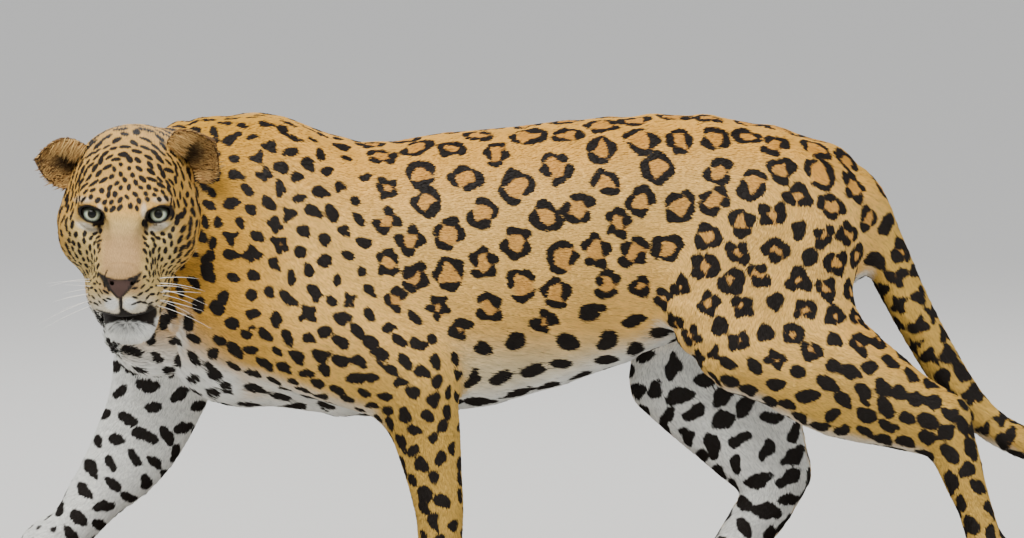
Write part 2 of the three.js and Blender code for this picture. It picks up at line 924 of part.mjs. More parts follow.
// An ear is a cup: its cross-section is a crescent that opens forwards.
function earGeometry(root, tip, facing, width) {
  const size = { width, depth: 18, wall: 5 };
  const along = tip.clone().sub(root);
  const axis = along.clone().normalize();
  const front = facing.clone().addScaledVector(axis, -facing.dot(axis)).normalize();
  const across = axis.clone().cross(front);
  const arc = 8;
  const rings = [0, 0.25, 0.5, 0.72, 0.88, 0.97].map((t) => {
    const spread = size.width * Math.sqrt(1 - t ** 3) * (0.85 + 0.3 * Math.sin(Math.PI * t));
    const bowl = size.depth * (1 - 0.55 * t);
    const wall = size.wall * (1 - 0.4 * t);
    const ring = [];
    for (let i = 0; i <= arc; i += 1) {
      const u = -1 + (2 * i) / arc;
      ring.push([u * spread, -bowl * (1 - u * u) - wall * Math.sqrt(1 - 0.8 * u * u)]);
    }
    for (let i = arc - 1; i > 0; i -= 1) {
      const u = -1 + (2 * i) / arc;
      ring.push([u * spread * 0.9, -bowl * (1 - u * u)]);
    }
    return ring.map(([u, v]) =>
      root.clone().addScaledVector(along, t).addScaledVector(across, u).addScaledVector(front, v + 8 * t),
    );
  });
  const middle = (ring) => ring.reduce((sum, p) => sum.add(p), vec(0, 0, 0)).divideScalar(ring.length);
  const foot = middle(rings[0]).addScaledVector(axis, -6);
  const top = middle(rings[rings.length - 1]).addScaledVector(axis, 2);
  return closedRings(rings, foot, top);
}

const earShapes = [
  earGeometry(onHead(44, 66, 31), vec(-438, -158, 656), vec(0.3, -1, 0.1), 37),
  earGeometry(onHead(46, -60, 31), vec(-677, -164, 631), vec(-0.3, -1, 0.1), 31),
];

// The room round a shape: its copies moved a little along each axis.
const roomFor = (geometry, reach) =>
  joined(
    [vec(1, 0, 0), vec(0, 1, 0), vec(0, 0, 1)].flatMap((axis) =>
      [-reach, reach].map((move) => {
        const { x, y, z } = axis.clone().multiplyScalar(move);
        return solidOf(geometry, new THREE.Matrix4().makeTranslation(x, y, z));
      }),
    ),
  );

const ball = (centre, radius, stretch = vec(1, 1, 1)) =>
  solidOf(
    new THREE.SphereGeometry(radius, 14, 9),
    new THREE.Matrix4().compose(centre, new THREE.Quaternion(), stretch),
  );

// Assembly.
const grid = surfaceOf(
  outsideBody,
  gridLines(900, [-760, 10], [-670, 7], [-450, 14], [440, 11]),
  gridLines(180, [-320, 7], [-120, 12]),
  gridLines(720, [-32, 7], [52, 12]),
);
grid.points = grid.points.map((point) => settled(outsideBody, point));
// The face and the paws keep smaller triangles than the rest.
const care = ([x, y, z]) => (y < -130 && x < -430 ? 7 : z < 60 || x < -640 ? 4 : 1);
const weigh = (size, corner) => size * care(corner);
const bodySurface = simplified(grid, { wanted: bodyTriangles, weigh });
const bodyGeometry = closedGeometry(bodySurface.points, bodySurface.faces);
const whole = mainBody(solidOf(bodyGeometry));

const pieces = [];
const keep = (name, solid, colour) => pieces.push({ name, solid, colour });
const keepCut = (name, solid, colour) => keep(name, tidied(mainBody(solid)), colour);

// Eyes look straight at the viewer from open sockets.
const lidOpening = vec(0.96, 1, 0.78);
const [eyeAhead, eyeAside, eyeUp] = eyePlace;
const eyeCentres = onBothSides((side) => onHead(eyeAhead, eyeAside * side, eyeUp));
const sockets = eyeCentres.map((centre) =>
  ball(centre, eyeRadius + gap + 2 * sliver).add(ball(centre.clone().add(vec(0, -16, 2)), eyeRadius, lidOpening)),
);
// The ears end where they meet the head.
const earSolids = earShapes.map((shape) => solidOf(shape).subtract(roomFor(bodyGeometry, 2 * gap)));
const standing = halfSpace(vec(0, 0, gap), vec(0, 0, 1));
const body = whole
  .intersect(standing)
  .subtract(joined([...sockets, sweepSolid(nosePad, 12, gap + sliver)]));

// The head is parted from the neck round the back of the skull.
const faceOutline = [[-680, 380], [-680, 700], [-445, 700], [-445, 380]];
const headBlock = (grow) =>
  sweepSolid(skull, 16, 14 + grow).add(legBlock(faceOutline, -140, -400, grow));
const headWhole = body.intersect(headBlock(0));
const belowHead = body.subtract(headBlock(gap));
const jawNormal = headUp.clone().addScaledVector(headForward, -0.12);
const [head, lowerJaw] = parted(mainBody(headWhole), onHead(200, 0, -69), jawNormal);
keepCut("head", head, colours.coat);
keepCut("lower_jaw", lowerJaw, colours.paleCoat);
keep("nose", sweepSolid(nosePad, 12, 0), colours.nose);
["left", "right"].forEach((side, i) => {
  keep(`eye_${side}`, ball(eyeCentres[i], eyeRadius), colours.eye);
  keepCut(`ear_${side}`, earSolids[i], colours.ear);
});

// Outlines in side view that part each leg from the trunk, then the planes
// at the elbow or knee and above the paw.
const legs = [
  {
    names: ["left_shoulder_and_upper_arm", "left_forearm", "left_fore_paw"],
    inner: -43,
    outline: [
      [-385, 690], [-322, 640], [-296, 585], [-228, 526], [-150, 468], [-112, 400],
      [-80, 320], [-60, 60], [-80, -60], [-290, -60], [-300, 80], [-215, 270],
      [-245, 330], [-340, 356], [-460, 385], [-500, 450], [-470, 560],
    ],
    planes: [
      [vec(-170, 0, 318), vec(0.15, 0, 1)],
      [vec(-145, 0, 76), vec(0.1, 0, 1)],
    ],
  },
  {
    names: ["right_shoulder_and_upper_arm", "right_forearm", "right_fore_paw"],
    inner: 43,
    outline: [
      [-385, 690], [-325, 640], [-316, 590], [-350, 520], [-392, 450], [-425, 380],
      [-440, 300], [-470, 150], [-560, -20], [-780, -20], [-780, 190], [-640, 310],
      [-620, 420], [-560, 530], [-470, 620],
    ],
    planes: [
      [vec(-525, 0, 290), vec(0.35, 0, 0.94)],
      [vec(-612, 0, 134), vec(0.7, 0, 0.7)],
    ],
  },
  {
    names: ["left_thigh", "left_shank", "left_hind_foot"],
    inner: -38,
    outline: [
      [392, 660], [300, 660], [220, 590], [160, 510], [122, 440], [108, 380],
      [150, 290], [300, 210], [460, 150], [520, -60], [720, -60], [700, 250],
      [560, 360], [480, 470], [430, 560],
    ],
    planes: [
      [vec(330, 0, 360), vec(-0.42, 0, 0.91)],
      [vec(524, 0, 262), vec(-0.92, 0, 0.38)],
    ],
  },
  {
    names: ["right_thigh", "right_shank", "right_hind_foot"],
    inner: 38,
    outline: [
      [392, 660], [300, 660], [205, 590], [130, 500], [88, 410], [60, 320],
      [90, 180], [90, -60], [330, -60], [400, 120], [420, 300], [440, 450], [430, 560],
    ],
    planes: [
      [vec(215, 0, 322), vec(-0.12, 0, 1)],
      [vec(300, 0, 200), vec(-0.5, 0, 0.87)],
    ],
  },
];
const legBlocks = (grow) =>
  legs.map(({ outline, inner }) => legBlock(outline, inner, Math.sign(inner) * 220, grow));
// A sleeve round the tail, which parts it from the croup.
const freeTail = { ...tail, sections: tail.sections.slice(3) };
const tailBlock = (grow) => sweepSolid(freeTail, 16, 12 + grow);

legBlocks(0).forEach((block, i) => {
  const { names, planes } = legs[i];
  const leg = mainBody(belowHead.intersect(block));
  const [upper, rest] = parted(leg, ...planes[0]);
  const [middle, foot] = parted(rest, ...planes[1]);
  [upper, middle, foot].forEach((solid, k) => keepCut(names[k], solid, colours.coat));
});
const torso = mainBody(belowHead.subtract(joined(legBlocks(gap))));
const tailPart = mainBody(torso.intersect(tailBlock(0)));
const trunkPart = mainBody(torso.subtract(tailBlock(gap)));
const [pelvis, front] = parted(trunkPart, vec(195, 0, 500), vec(1, 0, -0.12));
const [loin, chestAndNeck] = parted(front, vec(-95, 0, 500), vec(1, 0, 0.1));
const [neckPiece, chest] = parted(chestAndNeck, vec(-470, 0, 550), vec(-0.72, -0.2, 0.69));
keepCut("neck", neckPiece, colours.coat);
keepCut("chest", chest, colours.coat);
keepCut("loin", loin, colours.coat);
keepCut("pelvis", pelvis, colours.coat);
const [tailBase, tailRest] = parted(tailPart, vec(547, 0, 321), vec(-0.55, 0, 0.83));
const [tailMiddle, tailTip] = parted(tailRest, vec(720, 0, 220), vec(-1, 0, 0));
keepCut("tail_base", tailBase, colours.coat);
keepCut("tail_middle", tailMiddle, colours.coat);
keepCut("tail_tip", tailTip, colours.coat);

function meshOf({ name, solid, colour }) {
  const { vertProperties, triVerts } = solid.getMesh();
  const geometry = new THREE.BufferGeometry();
  geometry.setAttribute("position", new THREE.Float32BufferAttribute(vertProperties, 3));
  geometry.setIndex(Array.from(triVerts));
  geometry.computeVertexNormals();
  const material = new THREE.MeshStandardMaterial({ color: colour, roughness: 0.85, metalness: 0 });
  const mesh = new THREE.Mesh(geometry, material);
  mesh.name = name;
  return mesh;
}

// The base: a flat board with its edges cut back.
function baseMesh() {
  const outline = new THREE.Shape();
  const [x, y] = [base.length / 2 - base.edge, base.width / 2 - base.edge];
  outline.moveTo(-x, -y);
  outline.lineTo(x, -y);
  outline.lineTo(x, y);
  outline.lineTo(-x, y);
  outline.closePath();
  const geometry = new THREE.ExtrudeGeometry(outline, {
    depth: base.height - 2 * base.edge,
    bevelSize: base.edge,
    bevelThickness: base.edge,
    bevelSegments: 1,
  }).translate(0, 0, base.edge);
  const material = new THREE.MeshStandardMaterial({ color: colours.base, roughness: 0.5, metalness: 0 });
  const mesh = new THREE.Mesh(geometry, material);
  mesh.name = "stand_base";
  return mesh;
}

const leopard = new THREE.Group();
const animal = new THREE.Group();
animal.position.z = base.height;
pieces.forEach((piece) => animal.add(meshOf(piece)));
leopard.add(animal, baseMesh());

export default leopard;
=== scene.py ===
import math

import bpy
import numpy as np
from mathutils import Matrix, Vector


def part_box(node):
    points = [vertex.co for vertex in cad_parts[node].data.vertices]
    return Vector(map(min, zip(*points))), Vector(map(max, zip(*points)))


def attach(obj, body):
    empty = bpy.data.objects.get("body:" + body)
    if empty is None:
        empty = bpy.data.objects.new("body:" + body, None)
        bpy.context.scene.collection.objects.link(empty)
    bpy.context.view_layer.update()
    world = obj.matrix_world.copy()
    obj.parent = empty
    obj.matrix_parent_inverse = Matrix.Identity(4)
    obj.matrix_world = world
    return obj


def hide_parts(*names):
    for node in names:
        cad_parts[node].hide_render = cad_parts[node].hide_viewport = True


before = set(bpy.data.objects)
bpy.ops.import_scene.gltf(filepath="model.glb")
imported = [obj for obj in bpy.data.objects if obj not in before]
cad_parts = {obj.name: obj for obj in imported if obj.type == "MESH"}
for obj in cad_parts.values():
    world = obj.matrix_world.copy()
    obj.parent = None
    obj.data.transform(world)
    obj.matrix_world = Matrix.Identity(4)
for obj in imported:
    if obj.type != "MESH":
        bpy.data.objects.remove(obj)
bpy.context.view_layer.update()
rng = np.random.default_rng(11)

millimetre = 0.001
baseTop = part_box("stand_base")[1].z / millimetre
farAway = 1000.0


def unit(vectors):
    # each vector divided by its length
    size = np.linalg.norm(vectors, axis=-1, keepdims=True)
    return vectors / np.maximum(size, 1e-9)


def ramp(low, high, value):
    # 0 below low, 1 above high, with soft ends between
    t = np.clip((value - low) / (high - low), 0, 1)
    return t * t * (3 - 2 * t)


# Body shapes. Each is an oval carried along a path. A row is x, y, height above the
# base, half the width along the side axis and half the height across it.


def smoothRows(rows, steps):
    # Catmull-Rom through the rows, each span cut into the same steps
    rows = np.array(rows, float)
    last = len(rows) - 1
    spans = np.arange(last)
    a, b, c, d = (rows[np.clip(spans + shift, 0, last)][:, None] for shift in (-1, 0, 1, 2))
    t = (np.arange(steps) / steps)[None, :, None]
    square, cube = 2 * a - 5 * b + 4 * c - d, 3 * b - a - 3 * c + d
    curve = 0.5 * (2 * b + (c - a) * t + square * t**2 + cube * t**3)
    return np.concatenate([curve.reshape(-1, rows.shape[1]), rows[-1:]])


def sweep(
    part, rows, blend=30, steps=2, egg=0, power=2,
    upright=False, side=(0, 1, 0), along=1, raised=True,
):
    # sections of one sweep: centres, axes and half sizes. blend is the reach of the
    # fillet, egg narrows the top, power squares the oval, along is the coat's lie
    smooth = smoothRows(rows, steps)
    centre = smooth[:, :3] + ([0, 0, baseTop] if raised else [0, 0, 0])
    path = np.arange(len(centre))
    ahead = unit(centre[np.minimum(path + 1, path[-1])] - centre[np.maximum(path - 1, 0)])
    sideways = np.tile(np.array(side, float), (len(centre), 1))
    if upright:
        sideways = np.cross(ahead, [0, 0, 1])
    sideways = unit(sideways - ahead * (sideways * ahead).sum(1, keepdims=True))
    return {
        "part": part, "centre": centre, "lie": along,
        "ahead": ahead, "side": sideways, "up": np.cross(sideways, ahead),
        "width": smooth[:, 3], "height": smooth[:, 4],
        "blend": blend, "egg": egg, "power": power,
    }


def distanceAlong(shape, i, x, y, z):
    # about how far points are outside one stretch of a sweep, the place along it from
    # 0 to 1, and the two coordinates across it in half sizes
    a, b = shape["centre"][i], shape["centre"][i + 1]
    step = b - a
    ox, oy, oz = x - a[0], y - a[1], z - a[2]
    t = np.clip((ox * step[0] + oy * step[1] + oz * step[2]) / (step @ step), 0, 1)
    px, py, pz = ox - step[0] * t, oy - step[1] * t, oz - step[2] * t

    def along(name):
        # length along one of the sections' axes, blended from one end to the other
        first, second = shape[name][i], shape[name][i + 1]
        low = px * first[0] + py * first[1] + pz * first[2]
        high = px * second[0] + py * second[1] + pz * second[2]
        return low + (high - low) * t

    width = shape["width"][i] + (shape["width"][i + 1] - shape["width"][i]) * t
    height = shape["height"][i] + (shape["height"][i + 1] - shape["height"][i]) * t
    v = along("up") / height
    u = along("side") / (width * (1 - shape["egg"] * np.clip(v, -1, 1)))
    w = along("ahead") / np.minimum(width, height)
    power = shape["power"]
    oval = np.hypot(u, v)
    if power != 2:
        oval = (np.abs(u) ** power + np.abs(v) ** power) ** (1 / power)
    ratio = np.maximum(np.hypot(oval, w), 1e-3)
    length = np.sqrt(px * px + py * py + pz * pz)
    outside = np.where(length > 1e-3, length * (ratio - 1) / ratio, -np.minimum(width, height))
    return outside, t, u, v


def reachOf(shape, i):
    # lowest and highest corner of the space in which one stretch counts
    size = max(shape["width"][i : i + 2].max(), shape["height"][i : i + 2].max()) + shape["blend"]
    ends = shape["centre"][i : i + 2]
    return ends.min(0) - size, ends.max(0) + size


def blended(a, b, reach):
    # smooth minimum, which fills the crease where two shapes meet
    overlap = np.maximum(reach - np.abs(a - b), 0) / reach
    return np.minimum(a, b) - overlap * overlap * reach / 4


trunkRows = [
    [-544, 402, 342, 30],
    [-532, 450, 320, 56],
    [-508, 548, 303, 86],
    [-472, 646, 291, 110],
    [-430, 675, 285, 124],
    [-380, 674, 282, 127],
    [-324, 658, 279, 128],
    [-268, 643, 270, 127],
    [-190, 644, 270, 126],
    [-108, 658, 281, 126],
    [-30, 665, 303, 127],
    [50, 675, 331, 125],
    [105, 680, 355, 120],
    [160, 683, 382, 112],
    [215, 681, 403, 107],
    [285, 668, 420, 100],
    [345, 645, 432, 88],
    [392, 612, 446, 68],
    [420, 578, 470, 40],
]
trunkSections = [[x, 0, (top + low) / 2, width, (top - low) / 2] for x, top, low, width in trunkRows]

bodyShapes = [
    sweep("trunk", trunkSections, steps=1, egg=0.12, power=2.15, blend=50),
    sweep("neck", [
        [-385, 0, 520, 112, 140],
        [-446, -8, 542, 102, 126],
        [-494, -30, 566, 88, 98],
        [-528, -62, 578, 76, 80],
        [-548, -98, 576, 70, 68],
    ], upright=True, blend=34, along=-1),
    sweep("tail", [
        [380, 0, 602, 32, 34],
        [418, 0, 560, 33, 36],
        [446, 0, 511, 33, 36],
        [477, 0, 447, 31, 32],
        [507, 2, 389, 29, 30],
        [547, 6, 321, 27, 28],
        [587, 12, 270, 25, 25],
        [632, 19, 240, 24, 24],
        [690, 28, 219, 24, 24],
        [750, 36, 221, 23, 23],
        [806, 42, 245, 22, 22],
        [846, 45, 289, 20, 20],
        [864, 45, 336, 15, 15],
        [866, 45, 350, 9, 9],
    ], blend=22),
    sweep("leftFore", [
        [-372, -44, 640, 24, 52],
        [-370, -66, 596, 40, 80],
        [-350, -80, 525, 50, 100],
        [-305, -90, 445, 52, 100],
        [-240, -95, 385, 51, 84],
        [-186, -96, 345, 49, 66],
        [-168, -94, 300, 45, 57],
        [-157, -92, 250, 40, 50],
        [-148, -90, 200, 34, 43],
        [-142, -88, 160, 31, 39],
        [-140, -87, 128, 30, 36],
        [-141, -86, 95, 32, 35],
        [-148, -86, 62, 34, 35],
        [-156, -86, 40, 34, 32],
    ], blend=45),
    sweep("leftFore", [
        [-470, -70, 445, 34, 46],
        [-410, -84, 418, 46, 66],
        [-320, -92, 385, 49, 68],
        [-235, -95, 350, 47, 62],
        [-185, -95, 325, 42, 52],
    ], blend=45),
    sweep("rightFore", [
        [-372, 44, 640, 24, 52],
        [-390, 66, 592, 40, 76],
        [-428, 82, 510, 50, 90],
        [-476, 92, 425, 52, 86],
        [-504, 94, 355, 50, 80],
        [-519, 92, 302, 46, 71],
        [-534, 90, 262, 43, 65],
        [-552, 88, 228, 40, 61],
        [-574, 87, 194, 37, 54],
        [-598, 86, 166, 34, 45],
        [-614, 85, 146, 34, 40],
        [-628, 85, 126, 35, 36],
        [-640, 85, 110, 35, 32],
    ], blend=45),
    sweep("leftHind", [
        [340, -44, 600, 32, 50],
        [312, -62, 545, 46, 92],
        [278, -76, 475, 52, 116],
        [252, -86, 414, 49, 98],
        [252, -92, 374, 42, 58],
        [266, -94, 358, 36, 42],
    ], blend=50),
    sweep("leftHind", [
        [268, -92, 360, 40, 46],
        [328, -94, 346, 46, 64],
        [405, -92, 320, 44, 74],
        [480, -91, 284, 37, 53],
        [526, -90, 262, 32, 42],
        [548, -90, 232, 30, 35],
        [562, -90, 192, 28, 30],
        [575, -90, 158, 28, 26],
        [586, -91, 122, 30, 26],
        [598, -92, 88, 33, 28],
        [608, -92, 62, 33, 25],
    ], blend=40),
    sweep("leftHind", [
        [370, -50, 552, 30, 42],
        [358, -68, 480, 42, 48],
        [366, -80, 410, 44, 52],
        [404, -87, 352, 40, 46],
        [480, -90, 304, 26, 30],
        [540, -90, 284, 18, 21],
    ], blend=45),
    sweep("rightHind", [
        [340, 44, 600, 32, 50],
        [308, 62, 545, 46, 92],
        [262, 78, 468, 52, 114],
        [212, 90, 392, 49, 94],
        [182, 95, 335, 43, 70],
        [172, 96, 306, 38, 52],
    ], blend=50),
    sweep("rightHind", [
        [166, 96, 318, 42, 58],
        [203, 96, 292, 45, 68],
        [240, 96, 256, 42, 65],
        [274, 95, 219, 37, 58],
        [304, 94, 180, 32, 48],
        [302, 93, 148, 32, 42],
        [286, 92, 122, 31, 39],
        [268, 91, 98, 32, 36],
        [248, 90, 66, 34, 34],
        [234, 90, 44, 34, 31],
    ], blend=40),
    sweep("rightHind", [
        [370, 50, 552, 30, 42],
        [352, 68, 480, 42, 52],
        [330, 82, 400, 44, 62],
        [308, 90, 325, 42, 58],
        [314, 93, 260, 30, 38],
        [332, 94, 212, 20, 22],
        [338, 94, 188, 18, 18],
    ], blend=45),
]


def pawShapes(part, origin, forward, up, scale):
    # palm and four toes in the paw's own frame: forward, to the side and up
    ahead = unit(np.array(forward, float))
    above = unit(np.array(up, float) - ahead * np.dot(up, ahead))
    side = np.cross(above, ahead)

    def place(rows):
        # rows of the paw turned its way and set down on the ground
        rows = np.array(rows, float) * scale
        centre = np.array(origin) + rows[:, :1] * ahead + rows[:, 1:2] * side + rows[:, 2:3] * above
        return np.concatenate([centre, rows[:, 3:]], 1)

    palm = [
        [-34, 0, 24, 24, 20],
        [-16, 0, 28, 34, 28],
        [8, 0, 32, 39, 33],
        [32, 0, 28, 40, 29],
        [46, 0, 24, 34, 22],
    ]
    shapes = [sweep(part, place(palm), side=side, blend=16)]
    toeGap, innerToesAhead = 20.5, 10
    for step in (-1.5, -0.5, 0.5, 1.5):
        reach = 0 if abs(step) > 1 else innerToesAhead
        s = step * toeGap
        toe = [
            [20, s * 0.9, 30, 11, 16],
            [40 + reach * 0.5, s, 30, 13, 20],
            [58 + reach, s * 1.04, 23, 14, 21],
            [70 + reach, s * 1.04, 15, 11, 14],
        ]
        shapes.append(sweep(part, place(toe), side=side, blend=6))
    return shapes


# part, middle of the palm on the ground, way ahead, way up, scale
bodyShapes += pawShapes("leftForePaw", (-160, -87, 0), (-1, -0.06, 0), (0, 0, 1), 1)
bodyShapes += pawShapes("rightForePaw", (-650, 86, 76), (-0.55, 0, -0.84), (-0.84, 0, 0.55), 1)
bodyShapes += pawShapes("leftHindPaw", (592, -92, 66), (0.36, -0.02, -0.93), (0.93, 0, 0.36), 0.94)
bodyShapes += pawShapes("rightHindPaw", (216, 90, 0), (-1, 0.05, 0), (0, 0, 1), 0.96)

# The head has its own axes: forward to the nose, to its left ear, and up.
headPose = {"pitch": 35, "yaw": 1.8, "origin": (-550.5, -75, 622)}
headOrigin = np.array(headPose["origin"], float) + [0, 0, baseTop]
pitch, yaw = math.radians(headPose["pitch"]), -math.radians(headPose["yaw"])
nodDown = np.array([
    [1, 0, 0],
    [0, math.cos(pitch), -math.sin(pitch)],
    [0, math.sin(pitch), math.cos(pitch)],
])
turnAside = np.array([
    [math.cos(yaw), -math.sin(yaw), 0],
    [math.sin(yaw), math.cos(yaw), 0],
    [0, 0, 1],
])
headTurn = turnAside @ nodDown
headForward, headSide, headUp = headTurn @ [0, -1, 0], headTurn @ [1, 0, 0], headTurn @ [0, 0, 1]


def onHead(s, w, h):
    # a place given as forward, to the side and up on the head
    s, w, h = (np.asarray(value)[..., None] for value in (s, w, h))
    return headOrigin + s * headForward + w * headSide + h * headUp


def headSweep(rows, along=-1, aside=0, **options):
    # rows: distance forward, top, bottom, half width; the whole may sit aside
    rows = np.array(rows, float)
    centre = onHead(rows[:, 0], aside + 0 * rows[:, 0], (rows[:, 1] + rows[:, 2]) / 2)
    placed = np.column_stack([centre, rows[:, 3], (rows[:, 1] - rows[:, 2]) / 2])
    return sweep("head", placed, side=headSide, raised=False, along=along, **options)


def lump(s, w, h, length, width, height, blend=14):
    # an oval lump, as a short sweep along the head's forward axis
    t = np.array([-0.9, -0.45, 0, 0.45, 0.9])
    swell = np.sqrt(1 - t * t)
    centre = onHead(s + t * length, w + 0 * t, h + 0 * t)
    rows = np.column_stack([centre, width * swell, height * swell])
    return sweep("head", rows, side=headSide, raised=False, along=-1, steps=1, blend=blend)


headShapes = [
    headSweep([
        [-10, 30, -50, 56],
        [12, 54, -76, 74],
        [40, 73, -90, 84],
        [76, 82, -94, 87],
        [106, 78, -90, 88],
        [128, 67, -80, 83],
        [146, 53, -70, 70],
        [161, 41, -62, 56],
        [174, 32, -54, 42],
    ], blend=32),
    headSweep([
        [138, 44, -60, 44],
        [166, 44, -62, 42],
        [192, 35, -62, 42],
        [216, 25, -64, 42],
        [236, 18, -62, 38],
        [249, 11, -57, 30],
        [256, 4, -49, 20],
    ], power=2.5, blend=16),
    headSweep([
        [56, -50, -98, 56],
        [100, -54, -106, 55],
        [146, -60, -112, 48],
        [186, -66, -117, 42],
        [216, -70, -119, 37],
        [234, -71, -116, 31],
        [244, -76, -108, 21],
    ], power=2.3, blend=16, aside=5),
]
for sign in (1, -1):
    headShapes += [
        lump(112, 52 * sign, -22, 50, 38, 48, blend=30),
        lump(160, 36 * sign, -70, 40, 22, 34, blend=22),
        lump(140, 38 * sign, 52, 26, 25, 14),
        lump(222, 25 * sign, -38, 33, 27, 25),
    ]

# The nose pad. Rows: height on the head, half width, distance forward.
noseRows = [
    [13, 20, 242],
    [8, 26, 251],
    [-2, 25, 254],
    [-12, 16, 255],
    [-22, 8, 253],
    [-31, 5, 249],
]
# Each nostril's balls: forward, aside, up, radius.
nostrilBalls = ((256, 11, 2, 5.2), (254, 16, 4, 4.0), (250, 20, 6, 2.6))
noseShape = sweep(
    "head",
    [[*onHead(s, 0, h), width, 9] for h, width, s in noseRows],
    side=headSide, raised=False, steps=1, power=2.4, blend=3,
)
# What is taken away: the slit of the mouth, the hollows of the eyes, and dents in the
# crown, beside the bridge, in the temples and under the whisker pads.
mouthShape = headSweep([[196, -67, -70, 44], [222, -65, -73, 50], [266, -61, -76, 54]], power=3)
orbits = [lump(171, 45 * sign, 30, 16, 19, 15, blend=12) for sign in (1, -1)]
faceHollows = [lump(132, 0, 84, 44, 4, 8, blend=16)]
for sign in (1, -1):
    faceHollows += [
        lump(190, 26 * sign, 32, 22, 4, 9, blend=12),
        lump(124, 86 * sign, 40, 30, 9, 20, blend=22),
        lump(232, 34 * sign, -64, 16, 8, 5, blend=10),
    ]
fleshShapes = bodyShapes + headShapes

# Eyes: the ball, and the almond that the lids leave open, seen from the front.
eye = {
    "forward": 150.5, "aside": 44, "up": 33,
    "radius": 15.6, "cornea": 1.3, "corneaReach": 0.8,
    "lid": 2.6, "lidBack": 4, "openBack": 3, "clearance": 0.2,
    "halfWidth": 14.8, "above": 9.3, "below": 9.9, "slant": 0.2, "raise": 1.0, "behind": 30.0,
}
eyeCentres = [onHead(eye["forward"], eye["aside"] * sign, eye["up"]) for sign in (1, -1)]


def eyeOpening(x, y, z, k):
    # how far outside the almond opening of eye k a place is, as seen from the front:
    # an oval with a taller lower half, slanting up outwards
    cx, _, cz = eyeCentres[k]
    outer = 1 if k == 0 else -1
    a = (x - cx) * outer
    b = (z - cz) - a * eye["slant"] - eye["raise"]
    tall = np.where(b > 0, eye["above"], eye["below"])
    return (np.sqrt((a / eye["halfWidth"]) ** 2 + (b / tall) ** 2) - 1) * 10


depth = {"body": 4.5, "bellyMore": 2.5, "faceAndFeetLess": 2.3}


def coatDepth(x, y, z):
    # depth of the coat over the skin: thin on the face and the feet, deep under the belly
    head = ramp(-128, -190, y) * ramp(-400, -450, x)
    feet = ramp(110, 60, z - baseTop)
    belly = ramp(-40, -110, z - 480) * ramp(-520, -450, x) * ramp(300, 200, x)
    thin = np.maximum(head, feet)
    return depth["body"] + depth["bellyMore"] * belly - depth["faceAndFeetLess"] * thin


def fieldOnGrid(xs, ys, zs):
    # distance outside the skin at every crossing of the grid lines: the flesh's shapes
    # joined smoothly, less the hollows, the coat's depth, the eyes' openings, the mouth
    # and the nostrils
    field = np.full((len(xs), len(ys), len(zs)), farAway, np.float32)

    def within(low, high):
        # the part of the grid between two corners
        return tuple(
            slice(np.searchsorted(line, low[axis]), np.searchsorted(line, high[axis], side="right"))
            for axis, line in enumerate((xs, ys, zs))
        )

    def coordinates(part):
        # x, y and z along a part's lines, shaped to spread over it
        return xs[part[0]][:, None, None], ys[part[1]][None, :, None], zs[part[2]][None, None, :]

    def fromPlace(part, place):
        # distance from one place to the part's crossings
        x, y, z = coordinates(part)
        return np.sqrt((x - place[0]) ** 2 + (y - place[1]) ** 2 + (z - place[2]) ** 2)

    def shapeField(shape):
        # distance outside one sweep, the least over its stretches
        reaches = [reachOf(shape, i) for i in range(len(shape["centre"]) - 1)]
        whole = within(np.min([r[0] for r in reaches], 0), np.max([r[1] for r in reaches], 0))
        block = np.full([s.stop - s.start for s in whole], farAway, np.float32)
        for i, (low, high) in enumerate(reaches):
            part = within(low, high)
            x, y, z = coordinates(part)
            if min(x.size, y.size, z.size) == 0:
                continue
            inner = tuple(slice(p.start - w.start, p.stop - w.start) for p, w in zip(part, whole))
            outside = distanceAlong(shape, i, x, y, z)[0]
            block[inner] = np.minimum(block[inner], outside)
        return whole, block

    for shape in fleshShapes:
        where, block = shapeField(shape)
        field[where] = blended(field[where], block, shape["blend"])
    for shape in orbits + faceHollows:
        where, block = shapeField(shape)
        field[where] = -blended(-field[where], block, shape["blend"])
    everywhere = (slice(None),) * 3
    field += coatDepth(*coordinates(everywhere)).astype(np.float32)
    where, block = shapeField(noseShape)
    bareNose = 0.6  # the pad lies this far inside its solid
    field[where] = blended(field[where], block + bareNose, 3)
    eyeRoom, nostrilRoom = 34, 14
    for k, centre in enumerate(eyeCentres):
        part = within(centre - eyeRoom, centre + eyeRoom)
        x, y, z = coordinates(part)
        fromCentre = fromPlace(part, centre)
        lids = np.maximum(fromCentre - eye["radius"] - eye["lid"], y - centre[1] - eye["lidBack"])
        block = blended(field[part], lids, 7)
        opening = np.maximum(eyeOpening(x, y, z, k), y - centre[1] + eye["openBack"])
        socket = fromCentre - eye["radius"] - eye["clearance"]
        field[part] = np.maximum(block, -blended(opening, socket, 1.5))
    where, block = shapeField(mouthShape)
    field[where] = -blended(-field[where], block, 4)
    for sign in (1, -1):
        for s, w, h, size in nostrilBalls:
            spot = onHead(s, w * sign, h)
            part = within(spot - nostrilRoom, spot + nostrilRoom)
            field[part] = -blended(-field[part], fromPlace(part, spot) - size, 3)
    return field


def gridLines(to, *spans):
    # lines whose spacing changes at given places
    lines = [spans[0][0]]
    while lines[-1] < to:
        lines.append(lines[-1] + [gap for start, gap in spans if lines[-1] >= start][-1])
    return np.array(lines, float)


